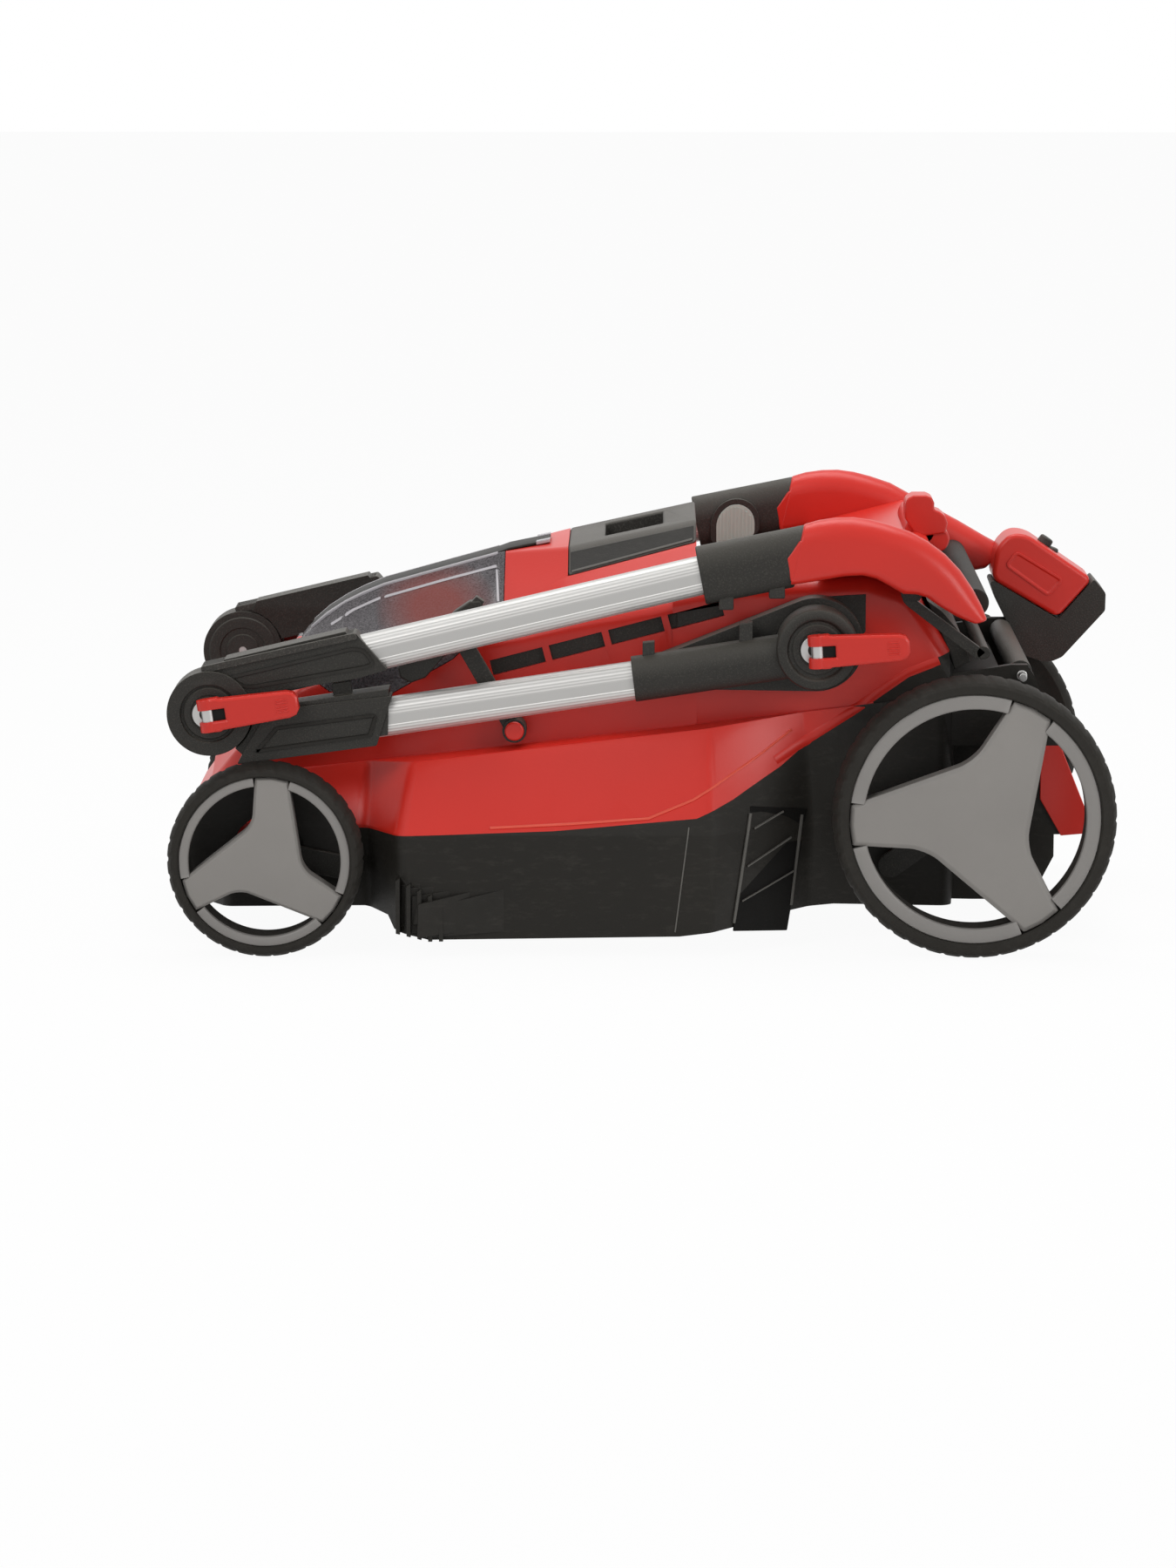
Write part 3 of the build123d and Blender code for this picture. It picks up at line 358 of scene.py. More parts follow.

# Moulded finishes: material name, colour, roughness, fineness and depth of the grain, edge rubbing with a
# painted edge highlight, and the rest, among them a painted highlight on faces turned up
MOULDED = {
    "red": {"name": "hood_red", "colour": "hood_red", "rough": 0.34, "grain": 420.0, "depth": 0.1,
            "wear": 0.12, "shine": 0.4, "patch": 0.07, "painted_top_light": 0.18},
    "black": {"name": "grained_black", "colour": "plastic_black", "rough": 0.5, "grain": 900.0, "depth": 0.55,
              "wear": 0.55, "shine": 0.26, "painted_top_light": 2.6, "speck": 1.2},
    "deck": {"name": "deck_black", "colour": "deck_black", "rough": 0.52, "grain": 700.0, "depth": 0.25,
             "wear": 0.5, "dust": {"stretch": (1.6, 1.0, 5.0), "amount": 0.35, "gain": 3.2, "lift": 0.012}},
    "tyre": {"name": "tyre_rubber", "colour": "tyre_black", "rough": 0.72, "grain": 520.0, "depth": 0.3,
             "wear": 0.7, "dust": {"stretch": (1.0, 4.0, 1.0), "amount": 0.4, "gain": 2.4, "lift": 0.01}},
    # The strong edge lightening of spokes and ring is mostly a painted highlight along their bevels.
    "spoke": {"name": "spoke_grey", "colour": "wheel_grey", "rough": 0.4, "grain": 500.0, "depth": 0.12,
              "wear": 1.1, "shine": 0.3, "patch": 0.1},
    "ring": {"name": "ring_grey", "colour": "ring_grey", "rough": 0.38, "grain": 500.0, "depth": 0.1,
             "wear": 1.0, "shine": 0.3, "patch": 0.1},
    "grey": {"name": "carry_grey", "colour": "handle_grey", "rough": 0.52, "grain": 800.0, "depth": 0.6,
             "wear": 0.5, "painted_top_light": 2.0, "speck": 1.2},
    "grip": {"name": "soft_grip", "colour": "plastic_black", "rough": 0.62, "grain": 500.0, "depth": 0.5,
             "wear": 0.2},
    # Painted highlight: a paler red for the lip bead.
    "painted_lip_highlight": {"name": "hood_lip_red", "colour": "lip_red", "rough": 0.34, "grain": 420.0, "depth": 0.1,
                "wear": 0.3, "shine": 0.36, "patch": 0.07},
    "shade": {"name": "deep_black", "colour": "shade_black", "rough": 0.6, "grain": 700.0, "depth": 0.2,
              "wear": 0.3, "shine": 0.1},
    "worn": {"name": "worn_edge", "colour": "worn_grey", "rough": 0.5, "grain": 700.0, "depth": 0.2,
             "wear": 0.5},
    "pane": {"name": "window_pane", "colour": "pane_grey", "rough": 0.3, "grain": 500.0, "depth": 0.05,
             "wear": 0.2, "shine": 0.5},
    # Painted highlight along the lid's edges.
    "lid_rim": {"name": "lid_rim", "colour": "rim_grey", "rough": 0.2, "grain": 500.0, "depth": 0.05,
                "wear": 0.3, "shine": 0.5},
}
SPECKS = (0.5, 0.72)
SCUFF_NOISE = (0.52, 0.78)
EDGE_POINTINESS = (0.53, 0.62)
RUB_AND_HIGHLIGHT_GAIN = 1.5
RUB_AND_HIGHLIGHT_LIFT = 0.03
ROUGH_SPREAD = 0.16
GRAIN_HEIGHT = 0.0006

# Tube finish: the smooth band's edges in metres, and each zone's share of the silver
BAND_TOP = 0.0022
BAND_FOOT = -0.0052
LINE_HALF = 0.00035
TUBE_TONES = {"band": 0.7, "ribbed": 1.02, "groove": 0.42, "line": 1.4, "aged": 0.6}
RIB_SHADE = 0.5
AGED_SHARE = 0.16
TUBE_METAL = 0.55
TUBE_ROUGH = (0.14, 0.34)
RIB_BUMP = (0.35, 0.0004)

# Steel and lid finishes; the lid's warm spot is a place in metres in a side view squashed along X
STEEL_DARK = (0.36, 0.36, 0.36, 1)
STEEL_PALE = (0.58, 0.57, 0.55, 1)
STEEL_ROUGH = (0.2, 0.25)
LID_SPECKS = (0.36, 0.66)
LID_TONES = (0.5, 1.35)
LID_SURFACE = {"Roughness": 0.22, "Transmission Weight": 0.5, "IOR": 1.3, "Specular IOR Level": 0.25}
LID_BUMP = (0.12, 0.0004)
WARM_SQUASH = (0.7, 0.0, 1.0)
WARM_PLACE = (-0.115, 0.0, 0.243)
WARM_EDGE = 0.034
WARM_CORE = 0.012
WARM_SHARE = 0.75
WARM_RED = (0.42, 0.07, 0.05, 1.0)

# The material of each finish by its plain name, filled when the finishes are made
FINISHES = {}

# Studio: the world's light, the share of the floor that glows white, lamps and camera, in metres and watts
WORLD_LEVEL = 0.3
FLOOR_GLOW = 0.95
FLOOR_SIZE = 14.0
FLOOR_SINK = 0.0004
FLOOR_GREY = (0.9, 0.9, 0.9, 1)
FLOOR_ROUGH = 0.9
LAMPS = {
    "key_softbox": {"place": (-1.5, -2.2, 1.9), "target": (0, 0, 0.15), "size": (1.2, 1.2), "power": 24.0},
    "top_softbox": {"place": (0.2, 0.3, 2.2), "target": (0, 0, 0.1), "size": (2.0, 1.0), "power": 26.0},
    "fill_softbox": {"place": (2.0, -1.9, 1.0), "target": (0.15, 0, 0.2), "size": (1.0, 1.0), "power": 17.0},
}
CAMERA_PLACE = (-0.005, -4.233, 0.782)
CAMERA_TURN = (radians(90 - 9.18), 0, radians(0.605))
LENS = 127.0
SENSOR = 36.0


def colour_choice(name, description, colour):
    """A colour that the panel offers."""
    return FloatVectorProperty(
        name=name, description=description, subtype="COLOR", size=3, min=0, max=1, default=colour)


class MowerColours(bpy.types.PropertyGroup):
    """Colours of the mower's finishes."""

    hood_red: colour_choice("Hood red", "Red of the hood, the yoke and the levers", (0.58, 0.022, 0.013))
    # The lip's paler red is a painted highlight along the bead round the hood's foot.
    lip_red: colour_choice("Lip red", "Paler red of the line round the hood's foot", (0.74, 0.085, 0.05))
    plastic_black: colour_choice(
        "Black plastic", "Grained black of sleeves and brackets", (0.021, 0.0195, 0.0165))
    deck_black: colour_choice("Deck black", "Brownish black of the cutting deck", (0.0145, 0.013, 0.0105))
    # Painted shade: this deeper black darkens the insides of the louvres and the lever slots.
    shade_black: colour_choice("Deep black", "Black of slots and louvres", (0.005, 0.0046, 0.004))
    tyre_black: colour_choice("Tyre black", "Rubber of the four tyres", (0.0185, 0.0165, 0.0135))
    wheel_grey: colour_choice("Wheel grey", "Grey of the spokes", (0.262, 0.248, 0.232))
    ring_grey: colour_choice("Ring grey", "Grey of the ring inside the tyre", (0.25, 0.238, 0.225))
    # Pale grey laid on the louvre fins, their frames and the deck crease.
    worn_grey: colour_choice("Worn grey", "Grey of scuffed fins and creases", (0.11, 0.105, 0.095))
    handle_grey: colour_choice("Carry handle grey", "Dark grey of the carry handle", (0.038, 0.0355, 0.0315))
    pane_grey: colour_choice("Pane grey", "Pale grey of the sleeves' windows", (0.41, 0.55, 0.5))
    # The pale grey of the lid's lines is a painted highlight along its edges.
    rim_grey: colour_choice("Rim grey", "Pale grey of the lid's frame lines", (0.42, 0.4, 0.42))
    tube_silver: colour_choice("Tube silver", "Anodised aluminium of the handle tubes", (0.66, 0.65, 0.63))
    lid_smoke: colour_choice("Lid smoke", "Tint of the see-through battery lid", (0.2, 0.185, 0.195))


class MowerSizes(bpy.types.PropertyGroup):
    """Sizes of the mower's moulded details."""

    deck_round: FloatProperty(
        name="Deck rounding", description="Rounding of the cutting deck's edges, in millimetres",
        default=0.9, min=0.1, max=3.0)
    tread_depth: FloatProperty(
        name="Tread depth", description="Depth of the grooves across a tyre, in millimetres",
        default=0.8, min=0.0, max=4.0)
    rib_pitch: FloatProperty(
        name="Tube rib pitch", description="Distance between the fine ribs along a tube, in millimetres",
        default=2.2, min=0.5, max=4.0)
    grip_ridges: IntProperty(
        name="Grip ridges", description="Ridges at the free end of a cam lever", default=5, min=2, max=8)


# Shader groups and finishes

def feed(tree, socket, value):
    """Links a socket to another one, or sets it to a plain value."""
    if isinstance(value, bpy.types.NodeSocket):
        tree.links.new(value, socket)
    else:
        socket.default_value = value


def feed_named(tree, node, values):
    """Feeds a node's sockets by name, underscores standing for spaces."""
    for name, value in values.items():
        feed(tree, node.inputs[name.replace("_", " ")], value)
    return node


def new_node(tree, kind, **values):
    """A node of a kind, with its sockets fed."""
    return feed_named(tree, tree.nodes.new(kind), values)


def maths(tree, operation, *values, kind="ShaderNodeMath"):
    """The result of a maths node on sockets or numbers."""
    node = tree.nodes.new(kind)
    node.operation = operation
    for socket, value in zip(node.inputs, values):
        feed(tree, socket, value)
    return node.outputs["Value"]


def scaled_vector(tree, vector, scale):
    """A vector multiplied part by part."""
    node = tree.nodes.new("ShaderNodeVectorMath")
    node.operation = "MULTIPLY"
    feed(tree, node.inputs[0], vector)
    feed(tree, node.inputs[1], scale)
    return node.outputs["Vector"]


def ramp(tree, value, low, high, top=1.0):
    """A value that grows from 0 to a top as another goes from low to high."""
    return new_node(
        tree, "ShaderNodeMapRange", Value=value, From_Min=low, From_Max=high, To_Max=top).outputs["Result"]


def blend_colour(tree, factor, first, second):
    """A colour between two colours."""
    node = tree.nodes.new("ShaderNodeMix")
    node.data_type = "RGBA"
    for index, value in ((0, factor), (6, first), (7, second)):
        feed(tree, node.inputs[index], value)
    return node.outputs[2]


def add_bump(tree, shader, height, strength, distance):
    """Lets a height show as bumps on a shader's surface."""
    bump = new_node(tree, "ShaderNodeBump", Height=height, Strength=strength, Distance=distance)
    tree.links.new(bump.outputs["Normal"], shader.inputs["Normal"])


def new_group(name, inputs, outputs):
    """An empty shader group: its tree, the sockets it starts from and those it ends in."""
    tree = bpy.data.node_groups.new(name, "ShaderNodeTree")
    for socket, value in inputs.items():
        kind = "NodeSocketFloat" if isinstance(value, float) else "NodeSocketVector"
        tree.interface.new_socket(name=socket, in_out="INPUT", socket_type=kind).default_value = value
    for socket in outputs:
        tree.interface.new_socket(name=socket, in_out="OUTPUT", socket_type="NodeSocketFloat")
    return tree, tree.nodes.new("NodeGroupInput").outputs, tree.nodes.new("NodeGroupOutput").inputs


def grain_group():
    """Fine leather-like moulding grain, with a slow patchiness over it."""
    tree, start, end = new_group(
        "Moulding grain", {"Vector": (0, 0, 0), "Scale": 900.0, "Patch Scale": 14.0}, ("Height", "Patch"))
    place = start["Vector"]
    fine = new_node(
        tree, "ShaderNodeTexNoise", Vector=place, Scale=start["Scale"], Detail=3.0, Roughness=0.6)
    patch = new_node(tree, "ShaderNodeTexNoise", Vector=place, Scale=start["Patch Scale"], Detail=4.0)
    tree.links.new(fine.outputs["Fac"], end["Height"])
    tree.links.new(patch.outputs["Fac"], end["Patch"])
    return tree


def edge_rub_and_highlight_group():
    """Mask that is 1 on outer edges and 0 elsewhere, broken up by noise; it marks rubbed edges and a painted
    edge highlight.
    """
    tree, start, end = new_group("Edge wear", {"Vector": (0, 0, 0), "Amount": 0.5}, ("Mask",))
    shape = tree.nodes.new("ShaderNodeNewGeometry")
    sharp = ramp(tree, shape.outputs["Pointiness"], *EDGE_POINTINESS)
    noise = new_node(tree, "ShaderNodeTexNoise", Vector=start["Vector"], Scale=70.0)
    broken = maths(tree, "MULTIPLY", sharp, noise.outputs["Fac"])
    tree.links.new(maths(tree, "MULTIPLY", broken, start["Amount"]), end["Mask"])
    return tree


def painted_top_light_group():
    """Mask that grows as a surface turns up, for a painted highlight from the top light."""
    tree, start, end = new_group("Upward tone", {"Normal": (0, 0, 1)}, ("Mask",))
    split = new_node(tree, "ShaderNodeSeparateXYZ", Vector=start["Normal"])
    tree.links.new(maths(tree, "MAXIMUM", split.outputs["Z"], 0.0), end["Mask"])
    return tree


def scuff_group():
    """Thin pale scratches and dusty patches."""
    tree, start, end = new_group(
        "Scuffs", {"Vector": (0, 0, 0), "Stretch": (1, 1, 6), "Amount": 0.5}, ("Mask",))
    drawn = scaled_vector(tree, start["Vector"], start["Stretch"])
    noise = new_node(tree, "ShaderNodeTexNoise", Vector=drawn, Scale=38.0, Detail=8.0, Roughness=0.72)
    marks = ramp(tree, noise.outputs["Fac"], *SCUFF_NOISE)
    tree.links.new(maths(tree, "MULTIPLY", marks, start["Amount"]), end["Mask"])
    return tree


def tube_group():
    """Longitudinal ribs on a tube's upper and lower zones, with a smooth band between them."""
    tree, start, end = new_group(
        "Tube ribs", {"Vector": (0, 0, 0), "Across": (0, 0, 1), "Middle": 0.0, "Pitch": 0.0015},
        ("Height", "Ribbed", "Line"))
    height = maths(tree, "DOT_PRODUCT", start["Vector"], start["Across"], kind="ShaderNodeVectorMath")
    across = maths(tree, "SUBTRACT", height, start["Middle"])
    turns = maths(tree, "MULTIPLY", maths(tree, "DIVIDE", across, start["Pitch"]), 2 * pi)
    wave = maths(tree, "MULTIPLY_ADD", maths(tree, "SINE", turns), 0.5, 0.5)
    over = maths(tree, "GREATER_THAN", across, BAND_TOP)
    under = maths(tree, "LESS_THAN", across, BAND_FOOT)
    ribbed = maths(tree, "MAXIMUM", over, under)
    from_foot = maths(tree, "ABSOLUTE", maths(tree, "SUBTRACT", across, BAND_FOOT))
    tree.links.new(maths(tree, "MULTIPLY", wave, ribbed), end["Height"])
    tree.links.new(ribbed, end["Ribbed"])
    tree.links.new(maths(tree, "LESS_THAN", from_foot, LINE_HALF), end["Line"])
    return tree


def object_place(tree):
    """The sockets of a material's one Texture Coordinate node."""
    node = tree.nodes.get("Object place") or tree.nodes.new("ShaderNodeTexCoord")
    node.name = "Object place"
    return node.outputs


def placed_group(tree, group, **values):
    """The outputs of a group, with its sockets fed."""
    node = tree.nodes.new("ShaderNodeGroup")
    node.node_tree = group
    return feed_named(tree, node, values).outputs


def patterned(tree, group, **values):
    """The outputs of a group that reads Object coordinates."""
    return placed_group(tree, group, Vector=object_place(tree)["Object"], **values)


def new_finish(name):
    """A material with one Principled shader."""
    material = bpy.data.materials.new(name)
    material.use_nodes = True
    return material, material.node_tree, material.node_tree.nodes["Principled BSDF"]


def wide(colour, gain=1.0, lift=0.0):
    """A colour as four numbers, brighter by a gain and a lift."""
    return (*[min(1.0, part * gain + lift) for part in colour], 1.0)


def moulded_finish(name, colour, groups, rough, grain, depth, wear, shine=0.2, patch=0.25, painted_top_light=0.0,
                   speck=0.0, dust=None):
    """Moulded plastic: colour patches, specks, rubbed edges with a painted edge highlight, a painted
    highlight on faces turned up, dusty scuffs and grain bumps.
    """
    material, tree, shader = new_finish(name)
    texture = patterned(tree, groups["grain"], Scale=grain)
    edge = patterned(tree, groups["edge"], Amount=wear)
    tint = blend_colour(tree, texture["Patch"], wide(colour, 1 - patch), wide(colour, 1 + patch))
    if speck:
        tint = blend_colour(tree, ramp(tree, texture["Height"], *SPECKS), tint, wide(colour, 1 + speck))
    # Edges lightened: partly rubbing, partly a painted highlight along bevels, strongest on spokes and rings.
    tint = blend_colour(tree, edge["Mask"], tint, wide(colour, RUB_AND_HIGHLIGHT_GAIN, RUB_AND_HIGHLIGHT_LIFT))
    # Painted highlight: faces turned up are lightened, standing in for the top light.
    if painted_top_light:
        upward = placed_group(tree, groups["upward"], Normal=object_place(tree)["Normal"])
        tint = blend_colour(tree, upward["Mask"], tint, wide(colour, 1 + painted_top_light))
    if dust:
        scuff = patterned(tree, groups["scuff"], Stretch=dust["stretch"], Amount=dust["amount"])
        tint = blend_colour(tree, scuff["Mask"], tint, wide(colour, dust["gain"], dust["lift"]))
    tree.links.new(tint, shader.inputs["Base Color"])
    level = maths(tree, "MULTIPLY_ADD", texture["Patch"], ROUGH_SPREAD, rough - ROUGH_SPREAD / 2)
    tree.links.new(level, shader.inputs["Roughness"])
    shader.inputs["Specular IOR Level"].default_value = shine
    add_bump(tree, shader, texture["Height"], depth, GRAIN_HEIGHT)
    return material


def tube_finish(name, colour, tube, pitch, groups):
    """Anodised aluminium with drawn ribs along the tube."""
    material, tree, shader = new_finish(name)
    slant = tube["slant"]
    x, z = tube["joint"]
    middle = (z * cos(slant) - x * sin(slant) + tube["above"]) * MM
    tones = {zone: wide(colour, gain) for zone, gain in TUBE_TONES.items()}
    ribs = patterned(tree, groups["tube"], Across=(-sin(slant), 0, cos(slant)), Middle=middle, Pitch=pitch)
    grain = patterned(tree, groups["grain"], Scale=260.0, Patch_Scale=30.0)
    tint = blend_colour(tree, ribs["Ribbed"], tones["band"], tones["ribbed"])
    groove = maths(tree, "MULTIPLY", ribs["Height"], RIB_SHADE)
    tint = blend_colour(tree, groove, tint, tones["groove"])
    tint = blend_colour(tree, ribs["Line"], tint, tones["line"])
    aged = maths(tree, "MULTIPLY", grain["Patch"], AGED_SHARE)
    tint = blend_colour(tree, aged, tint, tones["aged"])
    tree.links.new(tint, shader.inputs["Base Color"])
    tree.links.new(maths(tree, "MULTIPLY_ADD", grain["Patch"], *TUBE_ROUGH), shader.inputs["Roughness"])
    shader.inputs["Metallic"].default_value = TUBE_METAL
    add_bump(tree, shader, ribs["Height"], *RIB_BUMP)
    return material


def steel_finish(name, groups):
    """Zinc-plated steel, lightly brushed."""
    material, tree, shader = new_finish(name)
    grain = patterned(tree, groups["grain"], Scale=350.0, Patch_Scale=40.0)
    tree.links.new(blend_colour(tree, grain["Patch"], STEEL_DARK, STEEL_PALE), shader.inputs["Base Color"])
    tree.links.new(maths(tree, "MULTIPLY_ADD", grain["Height"], *STEEL_ROUGH), shader.inputs["Roughness"])
    shader.inputs["Metallic"].default_value = 1.0
    return material


def lid_finish(name, colour, groups):
    """Smoky see-through plastic with a speckled inner face and a warm spot."""
    material, tree, shader = new_finish(name)
    grain = patterned(tree, groups["grain"], Scale=650.0, Patch_Scale=18.0)
    dark, pale = (wide(colour, gain) for gain in LID_TONES)
    tint = blend_colour(tree, ramp(tree, grain["Height"], *LID_SPECKS), dark, pale)
    flat = scaled_vector(tree, object_place(tree)["Object"], WARM_SQUASH)
    far = maths(tree, "DISTANCE", flat, WARM_PLACE, kind="ShaderNodeVectorMath")
    tint = blend_colour(tree, ramp(tree, far, WARM_EDGE, WARM_CORE, WARM_SHARE), tint, WARM_RED)
    tree.links.new(tint, shader.inputs["Base Color"])
    for socket, value in LID_SURFACE.items():
        shader.inputs[socket].default_value = value
    add_bump(tree, shader, grain["Height"], *LID_BUMP)
    return material


def make_finishes(scene):
    """Every finish of the mower by its plain name."""
    colours = scene.mower_colours
    groups = {
        "grain": grain_group(), "edge": edge_rub_and_highlight_group(), "upward": painted_top_light_group(), "scuff": scuff_group(),
        "tube": tube_group(),
    }
    finishes = {
        "lid": lid_finish("smoky_lid", colours.lid_smoke, groups),
        "steel": steel_finish("zinc_steel", groups),
    }
    for finish, look in MOULDED.items():
        colour = getattr(colours, look["colour"])
        values = {word: value for word, value in look.items() if word not in {"name", "colour"}}
        finishes[finish] = moulded_finish(look["name"], colour, groups, **values)
    for part, tube in TUBES.items():
        finishes[f"{part}_tube"] = tube_finish(
            f"{part}_tube_silver", colours.tube_silver, tube, scene.mower_sizes.rib_pitch * MM, groups)
    return finishes


# Mesh helpers

def turned(origin, angle, along, across=0.0):
    """A side-view place along and across a slanted line from an origin."""
    return (origin[0] + along * cos(angle) - across * sin(angle),
            origin[1] + along * sin(angle) + across * cos(angle))


def rectangle(low, high):
    """The four corners between a low and a high corner."""
    return [low, (high[0], low[1]), high, (low[0], high[1])]


def dress_piece(piece, body, finish, replaced, rounding, segments, sharp):
    """Smooth shading, rounded edges, finish and body for a new mesh object."""
    mesh = piece.data
    mesh.shade_smooth()
    mesh.set_sharp_from_angle(angle=radians(sharp))
    mesh.materials.append(FINISHES[finish])
    if rounding:
        edge = piece.modifiers.new("edges", "BEVEL")
        edge.width = rounding * MM
        edge.segments = segments
        edge.limit_method = "ANGLE"
        edge.angle_limit = radians(sharp)
        edge.harden_normals = True
        edge.use_clamp_overlap = True
        edge.miter_outer = "MITER_ARC"
    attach(piece, body)
    if replaced:
        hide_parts(*replaced)


def place_piece(bm, name, body, finish, replaced=(), rounding=0.0, segments=2, sharp=32.0, scale=MM):
    """Turns a bmesh into a finished piece that rides on a body."""
    if scale != 1.0:
        bmesh.ops.scale(bm, vec=(scale, scale, scale), verts=bm.verts)
    bmesh.ops.recalc_face_normals(bm, faces=bm.faces)
    mesh = bpy.data.meshes.new(name)
    bm.to_mesh(mesh)
    bm.free()
    piece = bpy.data.objects.new(name, mesh)
    bpy.context.scene.collection.objects.link(piece)
    dress_piece(piece, body, finish, replaced, rounding, segments, sharp)


def make_piece(name, body, finish, shapes, **look):
    """A piece made of shapes in millimetres: each a function and what it takes after the mesh."""
    bm = bmesh.new()
    for shape, *values in shapes:
        shape(bm, *values)
    place_piece(bm, name, body, finish, **look)


def both(shape, *values):
    """A shape for make_piece on the left and on the right side."""
    return [(shape, side, *values) for side in SIDES.values()]


def body_of_node(node):
    """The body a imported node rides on."""
    return frame["nodes"][node]["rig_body"]


def crown_place(spot):
    """Where a place on the hood's crown lies: drawn in and down towards the front."""
    if not CROWN[0][0] < spot.x < CROWN[-1][0]:
        return spot
    step = max(i for i, row in enumerate(CROWN) if row[0] <= spot.x)
    share = (spot.x - CROWN[step][0]) / (CROWN[step + 1][0] - CROWN[step][0])
    waist, top, drop, narrow = (a + (b - a) * share for a, b in zip(CROWN[step][1:], CROWN[step + 1][1:]))
    rise = min(max((spot.z - waist) / (top - waist), 0.0), 1.0)
    return Vector((spot.x, spot.y * (1 - rise * (1 - narrow)), spot.z - rise * drop))


def node_mesh(*nodes):
    """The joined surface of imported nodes, in metres."""
    bm = bmesh.new()
    for node in nodes:
        bm.from_mesh(frame["nodes"][node].data)
    if CROWN_NODES.intersection(nodes):
        for vert in bm.verts:
            vert.co = crown_place(vert.co / MM) * MM
    return bm


def moulded_copy(node, finish, rounding, segments=2, sharp=30.0):
    """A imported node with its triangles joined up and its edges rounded."""
    bm = node_mesh(node)
    bmesh.ops.remove_doubles(bm, verts=bm.verts, dist=JOIN_DISTANCE)
    bmesh.ops.dissolve_limit(bm, angle_limit=JOIN_ANGLE, verts=bm.verts, edges=bm.edges)
    bmesh.ops.dissolve_degenerate(bm, dist=JOIN_DISTANCE, edges=bm.edges)
    place_piece(bm, f"{node}_moulded", body_of_node(node), finish, (node,), rounding, segments, sharp, 1.0)


def skin_of(*nodes):
    """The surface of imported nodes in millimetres, for laying details on it."""
    bm = node_mesh(*nodes)
    bmesh.ops.scale(bm, vec=(1 / MM, 1 / MM, 1 / MM), verts=bm.verts)
    skin = BVHTree.FromBMesh(bm)
    bm.free()
    return skin


def skin_depth(skin, side, x, z):
    """How far from the middle plane a side-view place lies on a surface."""
    spot = skin.ray_cast(Vector((x, side * RAY_START, z)), Vector((0, -side, 0)))[0]
    return spot.y * side


def join_rings(bm, rings):
    """Walls between rings of vertices, with a cap at each end."""
    for first, second in zip(rings, rings[1:]):
        for i in range(len(first)):
            bm.faces.new((first[i], first[i - 1], second[i - 1], second[i]))
    bm.faces.new(rings[0])
    bm.faces.new(rings[-1][::-1])


def skin_plate(bm, side, skin, outline, lifts, sink=PLATE_SINK, foot=0.0):
    """A plate that stands off a surface by a lift at each corner, the surface being read above a foot."""
    depths = [skin_depth(skin, side, x, max(z, foot)) for x, z in outline]
    outer = [bm.verts.new((x, side * (depth + lift), z))
             for (x, z), depth, lift in zip(outline, depths, lifts)]
    inner = [bm.verts.new((x, side * (depth - sink), z)) for (x, z), depth in zip(outline, depths)]
    join_rings(bm, [outer, inner])


def skin_bead(bm, side, skin, path, width, lift):
    """A raised line along a path on a surface."""
    spots = [Vector(path[0])]
    for start, end in zip(path, path[1:]):
        steps = max(1, round(hypot(end[0] - start[0], end[1] - start[1]) / BEAD_PITCH))
        spots += [Vector(start).lerp(Vector(end), (i + 1) / steps) for i in range(steps)]
    rings = []
    for i, spot in enumerate(spots):
        run = (spots[min(i + 1, len(spots) - 1)] - spots[max(i - 1, 0)]).normalized()
        aside = Vector((-run.y, run.x)) * width / 2
        ring = []
        for share, rise in ((-1.0, -BEAD_SINK), (-0.5, lift), (0.5, lift), (1.0, -BEAD_SINK)):
            place = spot + aside * share
            depth = skin_depth(skin, side, place.x, place.y)
            ring.append(bm.verts.new((place.x, side * (depth + rise), place.y)))
        rings.append(ring)
    join_rings(bm, rings)


def drawn_out(bm, faces, reach):
    """Draws faces out across the mower and gives back the face at the far end."""
    made = bmesh.ops.extrude_face_region(bm, geom=faces)["geom"]
    moved = [part for part in made if isinstance(part, bmesh.types.BMVert)]
    bmesh.ops.translate(bm, vec=(0, reach, 0), verts=moved)
    return [part for part in made if isinstance(part, bmesh.types.BMFace)][0]


def side_plate(bm, side, outline, near, far, corner=0.0, steps=4):
    """A plate with a side-view outline, between two distances from the middle plane."""
    before = set(bm.faces)
    ring = [bm.verts.new((x, side * near, z)) for x, z in outline]
    bm.faces.new(ring)
    if corner:
        bmesh.ops.bevel(bm, geom=ring, offset=corner, offset_type="OFFSET", segments=steps,
                        profile=0.5, affect="VERTICES", clamp_overlap=True, material=-1)
    return drawn_out(bm, [face for face in bm.faces if face not in before], side * (far - near))


def framed_panel(bm, side, outline, near, far, rim, deep, corner):
    """A plate whose outer face has a raised rim round a sunk panel."""
    face = side_plate(bm, side, outline, near, far, corner)
    bmesh.ops.recalc_face_normals(bm, faces=bm.faces)
    for width, depth in ((rim, 0.0), (PANEL_SLOPE, -deep)):
        bmesh.ops.inset_region(bm, faces=[face], thickness=width, depth=depth, use_even_offset=False)


def cone(bm, place, turn, axis, radii, length, steps=40):
    """A capped upright cone about a place, turned there about an axis."""
    bmesh.ops.create_cone(
        bm, cap_ends=True, segments=steps, radius1=radii[0], radius2=radii[1], depth=length,
        matrix=Matrix.Translation(place) @ Matrix.Rotation(turn, 4, axis))


def round_bar(bm, side, middle, radius, near, far, steps=40):
    """A round bar across the mower."""
    place = (middle[0], side * (near + far) / 2, middle[1])
    cone(bm, place, pi / 2, "X", (radius, radius), far - near, steps)


